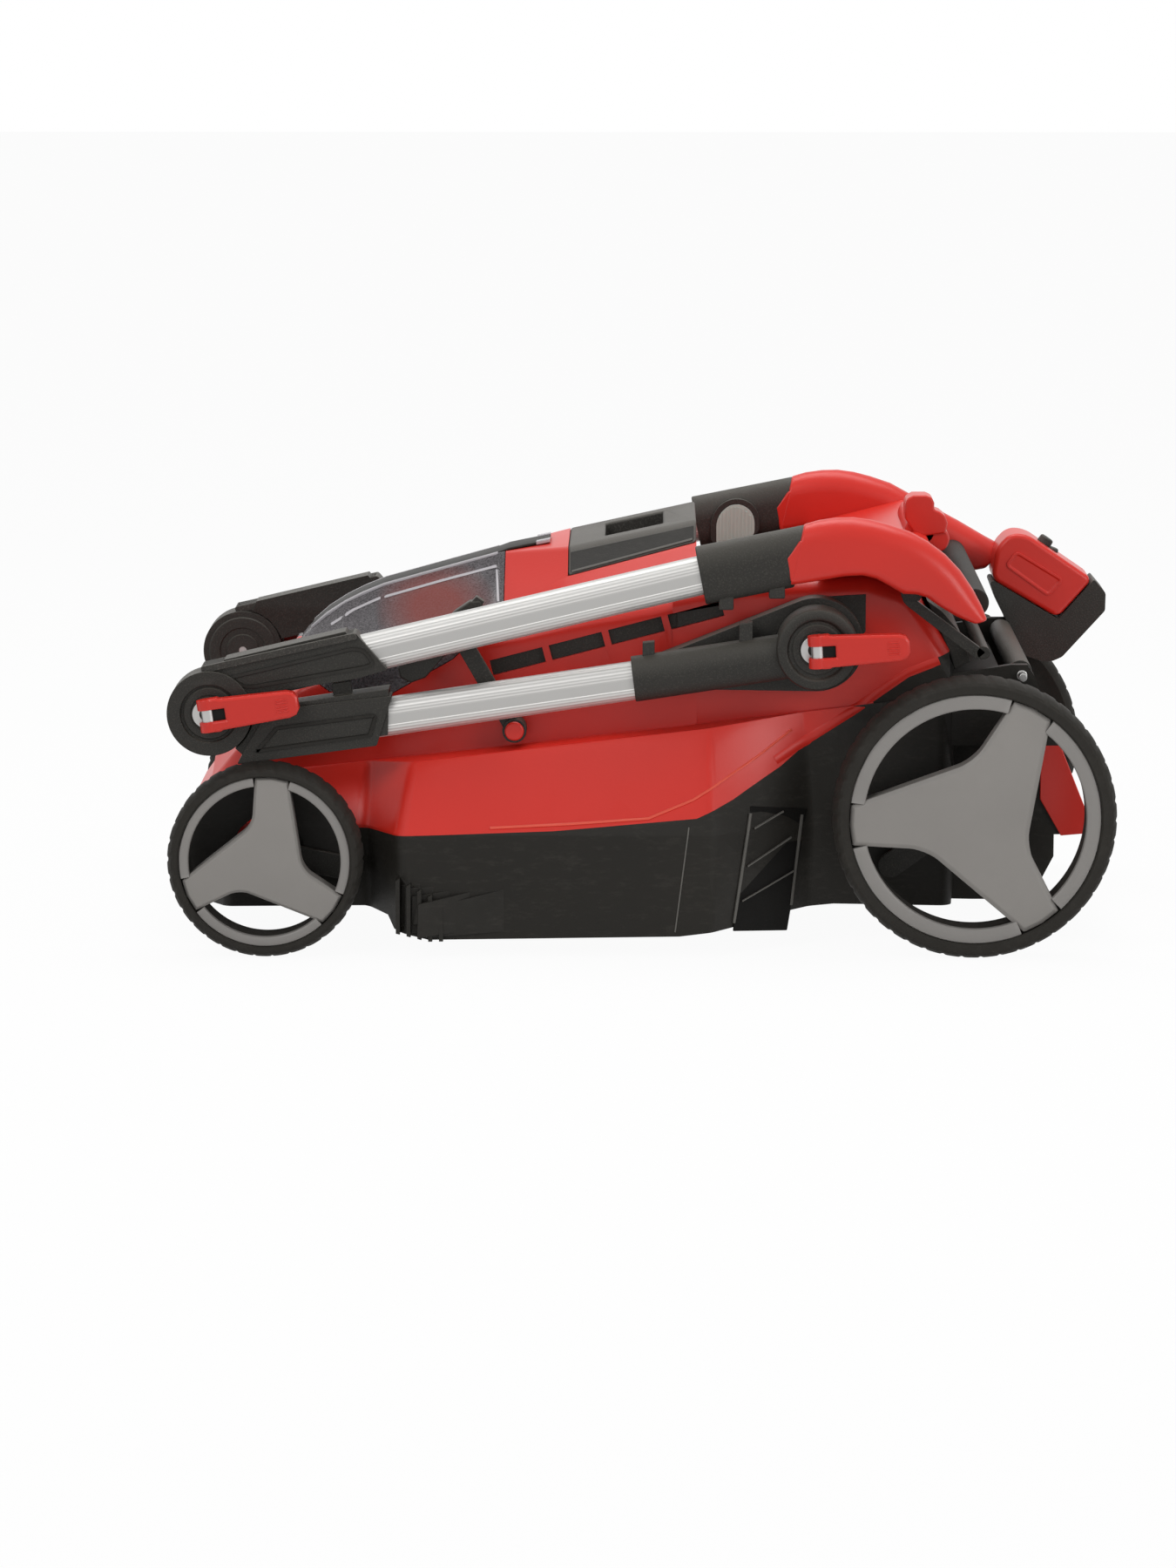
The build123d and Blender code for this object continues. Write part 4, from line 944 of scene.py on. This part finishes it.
def lofted_bar(bm, side, stations, near, far, top_round, low_round, steps, stretch=1.0):
    """A bar with rounded edges through stations, each a top and a low side-view place."""
    rings = []
    for top, low in stations:
        rise = Vector(top) - Vector(low)
        tall = rise.length
        ring = []
        for turn, (high, out) in enumerate(((1, 1), (0, 1), (0, 0), (1, 0))):
            corner = min(top_round if high else low_round, tall * ROUNDING_LIMIT)
            deep = min(corner * stretch, tall * STRETCHED_LIMIT)
            for i in range(steps + 1):
                angle = pi / 2 * (1 - turn - i / steps)
                height = (tall - deep if high else deep) + deep * sin(angle)
                y = (far - corner if out else near + corner) + corner * cos(angle)
                place = Vector(low) + rise * height / tall
                ring.append(bm.verts.new((place.x, side * y, place.y)))
        rings.append(ring)
    join_rings(bm, rings)


def closed_loop(bm, places):
    """Vertices at places with edges round them, as one list."""
    verts = [bm.verts.new(place) for place in places]
    return verts + [bm.edges.new((a, b)) for a, b in zip(verts, verts[1:] + verts[:1])]


def round_ring(bm, side, middle, profile, steps=64):
    """A ring turned about a cross axis from a closed profile of (radius, distance) places."""
    loop = closed_loop(bm, [(middle[0] + radius, side * y, middle[1]) for radius, y in profile])
    bmesh.ops.spin(bm, geom=loop, cent=(middle[0], 0, middle[1]), axis=(0, 1, 0),
                   angle=2 * pi, steps=steps, use_merge=True, use_duplicate=False)


class MOWER_OT_finishes(bpy.types.Operator):
    """Make the mower's finishes."""

    bl_idname = "mower.finishes"
    bl_label = "Finishes"

    def execute(self, context):
        FINISHES.update(make_finishes(context.scene))
        return {"FINISHED"}


class MOWER_OT_wheels(bpy.types.Operator):
    """Model the four wheels: treaded tyre, grey ring and three-spoke cover."""

    bl_idname = "mower.wheels"
    bl_label = "Wheels"

    def tyre_profile(self, wheel):
        """The closed section of a tyre: wall, tread and the seat of the ring."""
        outer, wall = wheel["radius"], wheel["wall"]
        inner = outer - wall
        barrel = inner - wheel["ring"] + TYRE_LAP
        seat = TYRE_OUT_Y - SEAT_SINK
        return [
            (barrel, TYRE_IN_Y + 2.0), (inner, TYRE_IN_Y + 1.0), (inner + wall * 0.45, TYRE_IN_Y),
            (outer - 5.0, TYRE_IN_Y + 1.2), (outer - 1.6, TYRE_IN_Y + 5.0), (outer, TYRE_IN_Y + 11.0),
            (outer, TYRE_OUT_Y - 11.0), (outer - 1.2, TYRE_OUT_Y - 5.0), (outer - 3.2, TYRE_OUT_Y - 1.6),
            (outer - 5.4, TYRE_OUT_Y - 0.3), (inner + 1.4, TYRE_OUT_Y - 0.3),
            (inner + 0.1, TYRE_OUT_Y - 1.6), (inner + 0.1, seat), (barrel, seat),
        ]

    def cut_treads(self, bm, wheel, depth):
        """Sinks leaning grooves into the tread."""
        x, z = wheel["middle"]
        half_width = (TYRE_OUT_Y - TYRE_IN_Y) / 2
        for vert in bm.verts:
            reach = hypot(vert.co.x - x, vert.co.z - z)
            if reach < wheel["radius"] - TREAD_BAND:
                continue
            turn = atan2(vert.co.z - z, vert.co.x - x)
            lean = TREAD_LEAN * abs(abs(vert.co.y) - TYRE_IN_Y - half_width) / half_width
            phase = (turn / (2 * pi) * wheel["treads"] + lean) % 1.0
            if phase < TREAD_GROOVE:
                shrink = (reach - depth) / reach
                vert.co.x = x + (vert.co.x - x) * shrink
                vert.co.z = z + (vert.co.z - z) * shrink

    def ring_arcs(self, bm, side, wheel):
        """The grey ring as three arcs between the arms."""
        x, z = wheel["middle"]
        outer = wheel["radius"] - wheel["wall"]
        inner = outer - wheel["ring"]
        lip = TYRE_OUT_Y - RING_SINK
        back = lip - RING_DEPTH
        profile = [
            (outer, back), (outer, lip - 0.7), (outer - 0.7, lip), (inner + 1.8, lip),
            (inner + 0.4, lip - 0.9), (inner, lip - 2.4), (inner, back),
        ]
        gap = wheel["half_arm"] + RING_GAP
        for arm in range(ARMS):
            start = radians(wheel["turn"] + ARM_TURN * arm + gap)
            spots = [(turned((x, z), start, radius), y) for radius, y in profile]
            loop = closed_loop(bm, [(spot[0], side * y, spot[1]) for spot, y in spots])
            bmesh.ops.spin(bm, geom=loop, cent=(x, 0, z), axis=(0, -1, 0), angle=radians(ARM_TURN - 2 * gap),
                           steps=RING_STEPS, use_merge=False, use_duplicate=False)
        bmesh.ops.holes_fill(bm, edges=[edge for edge in bm.edges if edge.is_boundary])

    def spoke_star(self, bm, side, wheel):
        """Three crowned arms with round crooks between them."""
        reach = wheel["radius"] - wheel["wall"] - SPOKE_GAP
        half_arm, crook_reach = wheel["half_arm"], wheel["crook_reach"]
        star, crooks = [], []
        for arm in range(ARMS):
            turn = wheel["turn"] + ARM_TURN * arm
            for radius, swing in ((reach, -half_arm), (reach + SPOKE_TIP, 0), (reach, half_arm),
                                  (crook_reach, wheel["crook"])):
                x, z = turned(wheel["middle"], radians(turn + swing), radius)
                star.append(bm.verts.new((x, side * SPOKE_BACK_Y, z)))
            crooks.append(star[-1])
        bm.faces.new(star)
        bmesh.ops.bevel(bm, geom=crooks, offset=crook_reach * CROOK_ROUND, offset_type="OFFSET", segments=6,
                        profile=0.5, affect="VERTICES", material=-1)
        front = drawn_out(bm, bm.faces[:], side * SPOKE_DEPTH)
        bmesh.ops.recalc_face_normals(bm, faces=bm.faces)
        bmesh.ops.inset_region(bm, faces=[front], thickness=wheel["ring"] * SPOKE_SLOPE, depth=SPOKE_CROWN,
                               use_even_offset=True)

    def execute(self, context):
        depth = context.scene.mower_sizes.tread_depth
        for end, wheel in WHEELS.items():
            middle = wheel["middle"]
            steps = wheel["treads"] * STEPS_PER_TREAD
            for side_name, side in SIDES.items():
                body = f"{end}_wheel_{side_name}"
                tyre = [(round_ring, side, middle, self.tyre_profile(wheel), steps),
                        (self.cut_treads, wheel, depth)]
                make_piece(f"{end}_tyre_{side_name}_treaded", body, "tyre", tyre,
                           replaced=(f"{end}_wheel_tyre_{side_name}",), sharp=28.0)
                make_piece(f"{end}_ring_{side_name}_lipped", body, "ring", [(self.ring_arcs, side, wheel)],
                           replaced=(f"{end}_wheel_ring_{side_name}",), rounding=0.5, sharp=40.0)
                spokes = [(self.spoke_star, side, wheel), (round_bar, side, middle, *BARS["hub"])]
                make_piece(f"{end}_spokes_{side_name}_bevelled", body, "spoke", spokes,
                           replaced=(f"{end}_wheel_spokes_{side_name}",), rounding=0.7, segments=3,
                           sharp=24.0)
        return {"FINISHED"}


class MOWER_OT_hood(bpy.types.Operator):
    """Round the red hood, its lip, its vents and its carry handle."""

    bl_idname = "mower.hood"
    bl_label = "Hood"

    def execute(self, context):
        moulded_copy("motor_hood", "red", rounding=1.3, segments=3, sharp=24.0)
        moulded_copy("vent_grilles", "black", rounding=0.4)
        moulded_copy("carry_handle", "grey", rounding=2.2, segments=3)
        handle = skin_of("carry_handle")
        hood = skin_of("motor_hood")
        hood_and_deck = skin_of("motor_hood", "cutting_deck")
        lifts = [CARRY_SIDE_LIFT] * len(CARRY_SIDE)
        make_piece("carry_handle_sides", "chassis", "deck", both(skin_plate, handle, CARRY_SIDE, lifts),
                   rounding=0.4)
        make_piece("carry_handle_lip", "chassis", "grey",
                   both(skin_bead, handle, CARRY_LIP, *BEADS["carry_lip"]), sharp=60.0)
        # The lip bead's paler red is a painted highlight.
        make_piece("hood_lip", "chassis", "painted_lip_highlight", both(skin_bead, hood, HOOD_LIP, *BEADS["hood_lip"]),
                   sharp=70.0)
        make_piece("hood_wheel_arch", "chassis", "red",
                   both(skin_bead, hood_and_deck, HOOD_ARCH, *BEADS["hood_arch"]), sharp=70.0)
        make_piece("hood_rear_cover", "chassis", "black",
                   [*both(side_plate, HOOD_RECESS, *PLATES["hood_recess"]),
                    (side_plate, RIGHT, REAR_COVER, *PLATES["rear_cover"])], rounding=0.6)
        return {"FINISHED"}


class MOWER_OT_deck(bpy.types.Operator):
    """Round the black cutting deck, its terraces, its louvres and the rear flap."""

    bl_idname = "mower.deck"
    bl_label = "Cutting deck"

    def terraces(self, bm, side, skin):
        """Stepped plates at the front of the deck, each standing further out."""
        for i, (foot, top, far) in enumerate(TERRACES):
            lift = TERRACE_LIFT + TERRACE_STEP * i
            outline = [foot, top, far, (far[0], foot[1] + TERRACE_FAR_FOOT)]
            skin_plate(bm, side, skin, outline, (lift, lift, TERRACE_FAR_LIFT, TERRACE_FAR_LIFT))

    def arch_liner(self):
        """The outline of a dark sheet behind a front wheel, painted shade on the hood's flank."""
        low, high = SHADE_SHEET_TURNS
        outer = [(SHADE_SHEET_OUTER, turn) for turn in range(low, high + 1, SHADE_SHEET_STEP)]
        inner = [(SHADE_SHEET_INNER, turn) for turn in range(high, low - 1, -2 * SHADE_SHEET_STEP)]
        return [turned(WHEELS["front"]["middle"], radians(turn), radius) for radius, turn in outer + inner]

    def execute(self, context):
        moulded_copy("cutting_deck", "deck", context.scene.mower_sizes.deck_round, sharp=24.0)
        moulded_copy("rear_flap", "red", rounding=0.8)
        make_piece("flap_sleeve", "rear_flap", "black",
                   [(round_bar, RIGHT, FLAP_ROD, *BARS["flap_sleeve"])], rounding=0.8)
        moulded_copy("flap_rod", "steel", rounding=0.6)
        skin = skin_of("cutting_deck")
        block_lifts = [LOUVRE_LIFT] * len(LOUVRE_BLOCK)
        arch = self.arch_liner()
        for side_name, side in SIDES.items():
            make_piece(f"deck_terraces_{side_name}", "chassis", "deck", [(self.terraces, side, skin)],
                       rounding=0.5)
            # Painted shade: a deep black plate behind the fins stands for the dark inside of the louvres.
            block = (skin_plate, side, skin, LOUVRE_BLOCK, block_lifts, LOUVRE_SINK, LOUVRE_FOOT)
            make_piece(f"deck_louvre_block_{side_name}", "chassis", "shade", [block], rounding=0.6)
            fins = [(skin_bead, side, skin, path, *BEADS["louvre_fin"]) for path in LOUVRE_FINS]
            rims = [(skin_bead, side, skin, path, *BEADS["louvre_frame"]) for path in LOUVRE_FRAME]
            make_piece(f"deck_louvres_{side_name}", "chassis", "worn", fins + rims, sharp=40.0)
            crease = (skin_bead, side, skin, DECK_CREASE, *BEADS["deck_crease"])
            make_piece(f"deck_crease_{side_name}", "chassis", "worn", [crease], sharp=40.0)
            # Painted shade: a dark sheet behind the front wheel darkens the hood's flank there.
            make_piece(f"front_arch_liner_{side_name}", "chassis", "deck",
                       [(side_plate, side, arch, *PLATES["arch_liner"])])
        return {"FINISHED"}


class MOWER_OT_lid(bpy.types.Operator):
    """Round the smoky battery lid, its frame lines and what lies under it."""

    bl_idname = "mower.lid"
    bl_label = "Battery lid"

    def crest(self, rise):
        """Stations along the lid's crest, raised above it."""
        return [((x, z + rise), (x, z - CREST_DEPTH)) for x, z in LID_CREST]

    def execute(self, context):
        moulded_copy("battery_lid", "lid", rounding=0.8)
        for node in ("battery_tray", "front_battery", "rear_battery", "controller_box"):
            moulded_copy(node, "black", rounding=1.5)
        moulded_copy("safety_key", "red", rounding=1.0)
        skin = skin_of("battery_lid")
        # The pale lines and crest edges are a painted highlight along the lid's edges.
        lines = [(skin_bead, side, skin, path, *BEADS["lid_line"])
                 for side in SIDES.values() for path in LID_LINES]
        edges = both(lofted_bar, self.crest(CREST_EDGE_RISE), *LOFTS["crest_edge"])
        make_piece("lid_frame_lines", "battery_lid", "lid_rim", lines + edges, sharp=60.0)
        make_piece("lid_crest", "battery_lid", "deck",
                   [(lofted_bar, RIGHT, self.crest(CREST_RISE), *LOFTS["crest"]),
                    (lofted_bar, RIGHT, LID_TAIL, *LOFTS["lid_tail"])], sharp=60.0)
        make_piece("lid_clips", "battery_lid", "lid_rim", both(lofted_bar, LID_CLIP, *LOFTS["lid_clip"]),
                   sharp=60.0)
        return {"FINISHED"}


class MOWER_OT_tubes(bpy.types.Operator):
    """Finish the four handle tubes."""

    bl_idname = "mower.tubes"
    bl_label = "Handle tubes"

    def execute(self, context):
        for part, tube in TUBES.items():
            stations = [[turned(tube["joint"], tube["slant"], along, tube["above"] + half)
                         for half in (TUBE_HALF, -TUBE_HALF)] for along in tube["reach"]]
            for side_name, side in SIDES.items():
                node = f"{part}_tube_{side_name}"
                make_piece(f"{node}_drawn", f"{part}_handle", f"{part}_tube",
                           [(lofted_bar, side, stations, *LOFTS["tube"])], replaced=(node,), sharp=50.0)
        return {"FINISHED"}


class MOWER_OT_brackets(bpy.types.Operator):
    """Round the sleeves, knuckles and handle brackets, with their panels and ring grooves."""

    bl_idname = "mower.brackets"
    bl_label = "Sleeves and brackets"

    def sleeves(self, side_name, side):
        """The lower sleeve with its round boss, and the upper sleeve, with their pegs."""
        boss = (round_ring, side, PIVOT, PIVOT_BOSS)
        rear = [(lofted_bar, side, REAR_SLEEVE, *LOFTS["rear_sleeve"]), boss]
        rear += [(side_plate, side, peg, *PLATES["rear_peg"]) for peg in REAR_PEGS]
        make_piece(f"lower_sleeve_{side_name}_round", "lower_handle", "black", rear,
                   replaced=(f"lower_sleeve_{side_name}",), rounding=1.0, segments=3)
        upper = [(lofted_bar, side, UPPER_SLEEVE, *LOFTS["upper_sleeve"])]
        upper += [(side_plate, side, peg, *PLATES["upper_peg"]) for peg in UPPER_PEGS]
        make_piece(f"upper_sleeve_{side_name}_round", "upper_handle", "black", upper,
                   replaced=(f"upper_sleeve_{side_name}",), rounding=1.2, segments=3)

    def ring_face(self, name, body, side, middle, radius, near, far):
        """A round face with a groove in it."""
        sunk = far - FACE_GROOVE
        groove = [(radius * share, y) for share, y in zip(FACE_GROOVE_EDGES, (far, sunk, sunk, far))]
        profile = [(radius, near), (radius, far - FACE_CHAMFER), (radius - FACE_CHAMFER, far), *groove,
                   (FACE_BORE, far), (FACE_BORE, near)]
        make_piece(name, body, "black", [(round_ring, side, middle, profile)], sharp=30.0)

    def cover(self, name, body, finish, side, outline, kind):
        """A plain cover over a bracket."""
        make_piece(name, body, finish, [(side_plate, side, outline, *PLATES[kind])], rounding=1.3,
                   segments=3)

    def panel(self, name, body, side, outline):
        """A framed panel on the outer and on the inner face of a bracket."""
        make_piece(name, body, "deck",
                   [(framed_panel, side, outline, *PANELS["bracket_outer"]),
                    (framed_panel, -side, outline, *PANELS["bracket_inner"])], rounding=0.5)

    def window(self, name, side):
        """An arched frame with a ribbed pane on the inner face of a sleeve."""
        make_piece(f"{name}_black", "upper_handle", "black",
                   [(side_plate, side, WINDOW_ARCH, *PLATES["window_arch"])], rounding=0.5)
        make_piece(f"{name}_pane", "upper_handle", "pane",
                   [(side_plate, side, WINDOW_PANE, *PLATES["window_pane"])], rounding=0.5)
        ribs = []
        for x in RIB_PLACES:
            top = RIB_TOP - RIB_FALL * ((x - WINDOW_MIDDLE) / WINDOW_HALF) ** 2
            rib = rectangle((x - RIB_HALF, RIB_FOOT), (x + RIB_HALF, top))
            ribs.append((side_plate, side, rib, *PLATES["window_rib"]))
        make_piece(f"{name}_ribs", "upper_handle", "pane", ribs, rounding=0.2, segments=1)

    def execute(self, context):
        for side_name, side in SIDES.items():
            moulded_copy(f"upper_knuckle_{side_name}", "black", rounding=1.2, segments=3)
            moulded_copy(f"lower_knuckle_{side_name}", "black", rounding=1.2, segments=3)
            self.sleeves(side_name, side)
            moulded_copy(f"handle_bracket_{side_name}", "black", rounding=1.4)
            self.ring_face(f"hinge_face_{side_name}", "upper_handle", side, HINGE, *HINGE_FACE)
            self.ring_face(f"pivot_face_{side_name}", "lower_handle", side, PIVOT, *PIVOT_FACE)
            self.cover(f"upper_cover_{side_name}", "upper_handle", "black", side, UPPER_COVER, "cover")
            self.cover(f"upper_flange_{side_name}", "upper_handle", "grey", side, UPPER_FLANGE, "flange")
            self.cover(f"lower_cover_{side_name}", "lower_handle", "black", side, LOWER_COVER, "cover")
            make_piece(f"hinge_inner_face_{side_name}", "upper_handle", "black",
                       [(round_ring, side, HINGE, INNER_FACE)], sharp=30.0)
            self.panel(f"upper_panel_{side_name}", "upper_handle", side, UPPER_PANEL)
            self.panel(f"lower_panel_{side_name}", "lower_handle", side, LOWER_PANEL)
            self.window(f"sleeve_window_{side_name}", side)
        return {"FINISHED"}


class MOWER_OT_yoke(bpy.types.Operator):
    """Round the red yoke, the soft grip bar and the bail."""

    bl_idname = "mower.yoke"
    bl_label = "Yoke, grip and bail"

    def execute(self, context):
        yoke = []
        for side, end in ARM_ENDS.items():
            yoke.append((lofted_bar, side, ARM + end, *LOFTS["arm"]))
            yoke.append((side_plate, side, ARM_NOSE, *PLATES["arm_nose"]))
        yoke.append((side_plate, RIGHT, BEAM, *PLATES["beam"]))
        yoke += [(round_bar, RIGHT, middle, radius, *HUMP_REACH) for middle, radius in HUMP_ROLLS]
        yoke.append((side_plate, LEFT, HUMP_CLIP, *PLATES["hump_clip"]))
        make_piece("handle_yoke_round", "upper_handle", "red", yoke, replaced=("handle_yoke",), rounding=1.6,
                   segments=3)
        make_piece("grip_bar_round", "upper_handle", "grip", [(round_bar, RIGHT, GRIP, *BARS["grip"])],
                   replaced=("grip_bar",), rounding=1.0)
        bail = []
        for side in SIDES.values():
            bail.append((side_plate, side, BAIL_LEG, *PLATES["bail_leg"]))
            bail.append((side_plate, side, BAIL_ROOT, *PLATES["bail_root"]))
            bail.append((round_bar, side, BAIL_PIVOT, *BARS["bail_pin"]))
        bail.append((round_bar, RIGHT, BAIL_BAR, *BARS["bail_bar"]))
        make_piece("bail_straight", "bail", "black", bail, replaced=("bail",), rounding=0.8)
        return {"FINISHED"}


class MOWER_OT_controls(bpy.types.Operator):
    """Round the control housing, its shell and its button, and the height lever."""

    bl_idname = "mower.controls"
    bl_label = "Controls"

    def execute(self, context):
        make_piece("control_housing_round", "upper_handle", "red",
                   [(side_plate, RIGHT, HOUSING_EDGE, *PLATES["housing"])], replaced=("control_housing",),
                   rounding=4.0, segments=4, sharp=40.0)
        make_piece("control_shell_round", "upper_handle", "black",
                   [(side_plate, RIGHT, SHELL_EDGE, *PLATES["shell"])], replaced=("control_shell",),
                   rounding=4.5, segments=4, sharp=40.0)
        make_piece("housing_panel", "upper_handle", "red",
                   [(framed_panel, LEFT, HOUSING_PANEL, *PANELS["housing"])], rounding=0.4)
        moulded_copy("safety_button", "black", rounding=0.4)
        moulded_copy("height_lever", "black", rounding=1.6, segments=3)
        moulded_copy("height_lever_pin", "black", rounding=0.6)
        make_piece("height_lever_cap", "chassis", "red",
                   [(round_bar, LEFT, HEIGHT_LEVER_PIVOT, *BARS["lever_cap"])], rounding=2.4, segments=3)
        make_piece("height_lever_grip", "height_lever", "black",
                   [(side_plate, LEFT, LEVER_GRIP, *PLATES["lever_grip"])], rounding=1.6, segments=3)
        make_piece("safety_button_cap", "safety_button", "black",
                   [(cone, BUTTON_PLACE, BUTTON_TILT, "Y", BUTTON_RADII, BUTTON_LENGTH)], rounding=1.6,
                   segments=3)
        return {"FINISHED"}


class MOWER_OT_levers(bpy.types.Operator):
    """Model the red cam levers with slot and grip ridges, and round the clamp bolts."""

    bl_idname = "mower.levers"
    bl_label = "Cam levers"

    def lever(self, bm, side, joint, slant, ridges):
        """A crowned lever with two barrels and grip ridges."""
        outline = [turned(joint, slant, *place) for place in CAM_OUTLINE]
        face = side_plate(bm, side, outline, *PLATES["cam_lever"])
        bmesh.ops.recalc_face_normals(bm, faces=bm.faces)
        bmesh.ops.inset_region(bm, faces=[face], thickness=CAM_RIM, depth=CAM_CROWN, use_even_offset=True)
        for across in (-BARREL_ACROSS, BARREL_ACROSS):
            x, z = turned(joint, slant, 0, across)
            cone(bm, (x, side * BARREL_Y, z), -slant, "Y", (BARREL_RADIUS, BARREL_RADIUS), BARREL_LENGTH)
        for i in range(ridges):
            across = (i - (ridges - 1) / 2) * RIDGE_PITCH
            start, end = RIDGE_REACH
            corners = rectangle((start, across - RIDGE_HALF), (end, across + RIDGE_HALF))
            ridge = [turned(joint, slant, *corner) for corner in corners]
            side_plate(bm, side, ridge, *PLATES["cam_ridge"])

    def execute(self, context):
        ridges = context.scene.mower_sizes.grip_ridges
        for side_name, side in SIDES.items():
            for end, (joint, slant) in CAM_LEVERS.items():
                node = f"{end}_cam_lever_{side_name}"
                body = body_of_node(node)
                make_piece(f"{node}_ridged", body, "red", [(self.lever, side, joint, slant, ridges)],
                           replaced=(node,), rounding=0.6)
                # Painted shade: a deep black plate in the slot hides the bolt where the slot lies in shade.
                slot = [turned(joint, slant, *corner) for corner in rectangle(*CAM_SLOT)]
                make_piece(f"{node}_slot", body, "shade", [(side_plate, side, slot, *PLATES["cam_slot"])])
                washer = (round_ring, side, turned(joint, slant, WASHER_ALONG), WASHER, WASHER_STEPS)
                make_piece(f"{node}_washer", body_of_node(f"{end}_clamp_bolts"), "steel", [washer],
                           rounding=0.3)
        for end in CAM_LEVERS:
            moulded_copy(f"{end}_clamp_bolts", "steel", rounding=0.5)
        return {"FINISHED"}


class MOWER_OT_running_gear(bpy.types.Operator):
    """Finish the axles, the motor and the blade."""

    bl_idname = "mower.running_gear"
    bl_label = "Axles, motor and blade"

    def execute(self, context):
        for node in ("front_axle", "rear_axle"):
            moulded_copy(node, "black", rounding=0.8)
        for node in ("motor_housing", "motor_screws", "motor_shaft", "blade", "lid_pin"):
            moulded_copy(node, "steel", rounding=0.5)
        moulded_copy("blade_carrier", "black", rounding=0.8)
        return {"FINISHED"}


class MOWER_OT_stage(bpy.types.Operator):
    """Set up the pale floor, the soft lights, the world and the camera."""

    bl_idname = "mower.stage"
    bl_label = "Stage"

    def seen_white(self, tree):
        """A value that is 1 where the studio is seen, mirrored or seen through the lid."""
        rays = tree.nodes.new("ShaderNodeLightPath").outputs
        seen = maths(tree, "MAXIMUM", rays["Is Camera Ray"], rays["Is Transmission Ray"])
        return maths(tree, "MAXIMUM", seen, rays["Is Glossy Ray"])

    def floor(self, scene):
        """A floor that is white to look at and pale grey to the light."""
        bm = bmesh.new()
        bmesh.ops.create_grid(bm, x_segments=1, y_segments=1, size=FLOOR_SIZE)
        mesh = bpy.data.meshes.new("studio_floor")
        bm.to_mesh(mesh)
        bm.free()
        ground = bpy.data.objects.new("studio_floor", mesh)
        ground.location.z = -FLOOR_SINK
        scene.collection.objects.link(ground)
        material, tree, shader = new_finish("studio_floor")
        shader.inputs["Base Color"].default_value = FLOOR_GREY
        shader.inputs["Roughness"].default_value = FLOOR_ROUGH
        glow = tree.nodes.new("ShaderNodeEmission")
        mix = tree.nodes.new("ShaderNodeMixShader")
        tree.links.new(maths(tree, "MULTIPLY", self.seen_white(tree), FLOOR_GLOW), mix.inputs[0])
        tree.links.new(shader.outputs[0], mix.inputs[1])
        tree.links.new(glow.outputs[0], mix.inputs[2])
        tree.links.new(mix.outputs[0], tree.nodes["Material Output"].inputs["Surface"])
        mesh.materials.append(material)

    def world(self, scene):
        """A world that is white to look at and dim to the light."""
        scene.world = bpy.data.worlds.new("studio")
        scene.world.use_nodes = True
        tree = scene.world.node_tree
        back = tree.nodes["Background"]
        back.inputs["Color"].default_value = (1, 1, 1, 1)
        level = maths(tree, "MULTIPLY_ADD", self.seen_white(tree), 1.0 - WORLD_LEVEL, WORLD_LEVEL)
        tree.links.new(level, back.inputs["Strength"])

    def lamp(self, scene, name, place, target, size, power):
        """A soft rectangular lamp turned to a target."""
        data = bpy.data.lights.new(name, "AREA")
        data.shape = "RECTANGLE"
        data.size, data.size_y = size
        data.energy = power
        lamp = bpy.data.objects.new(name, data)
        lamp.location = place
        lamp.rotation_euler = (Vector(target) - Vector(place)).to_track_quat("-Z", "Y").to_euler()
        scene.collection.objects.link(lamp)

    def camera(self, scene):
        """A long lens from the side, a little above the mower."""
        data = bpy.data.cameras.new("photo_camera")
        data.lens = LENS
        data.sensor_width = SENSOR
        camera = bpy.data.objects.new("photo_camera", data)
        camera.location = CAMERA_PLACE
        camera.rotation_euler = CAMERA_TURN
        scene.collection.objects.link(camera)
        scene.camera = camera

    def execute(self, context):
        scene = context.scene
        self.floor(scene)
        self.world(scene)
        for name, lamp in LAMPS.items():
            self.lamp(scene, name, **lamp)
        self.camera(scene)
        scene.view_settings.view_transform = "Standard"
        return {"FINISHED"}


OPERATORS = (
    MOWER_OT_finishes, MOWER_OT_wheels, MOWER_OT_hood, MOWER_OT_deck, MOWER_OT_lid, MOWER_OT_tubes,
    MOWER_OT_brackets, MOWER_OT_yoke, MOWER_OT_controls, MOWER_OT_levers, MOWER_OT_running_gear,
    MOWER_OT_stage,
)


class MOWER_PT_panel(bpy.types.Panel):
    """Lists the mower's pieces, sizes and colours."""

    bl_idname = "MOWER_PT_panel"
    bl_label = "Folded push mower"
    bl_space_type = "VIEW_3D"
    bl_region_type = "UI"
    bl_category = "Mower"

    def draw(self, context):
        for group in (context.scene.mower_sizes, context.scene.mower_colours):
            for name in group.bl_rna.properties.keys():
                if name not in {"rna_type", "name"}:
                    self.layout.prop(group, name)
        for operator in OPERATORS:
            self.layout.operator(operator.bl_idname)


CLASSES = (MowerColours, MowerSizes, *OPERATORS, MOWER_PT_panel)


def register():
    for cls in CLASSES:
        bpy.utils.register_class(cls)
    bpy.types.Scene.mower_colours = PointerProperty(type=MowerColours)
    bpy.types.Scene.mower_sizes = PointerProperty(type=MowerSizes)


def unregister():
    del bpy.types.Scene.mower_sizes
    del bpy.types.Scene.mower_colours
    for cls in reversed(CLASSES):
        bpy.utils.unregister_class(cls)


def main():
    register()
    for operator in OPERATORS:
        group, name = operator.bl_idname.split(".")
        getattr(getattr(bpy.ops, group), name)()


if __name__ == "__main__":
    main()
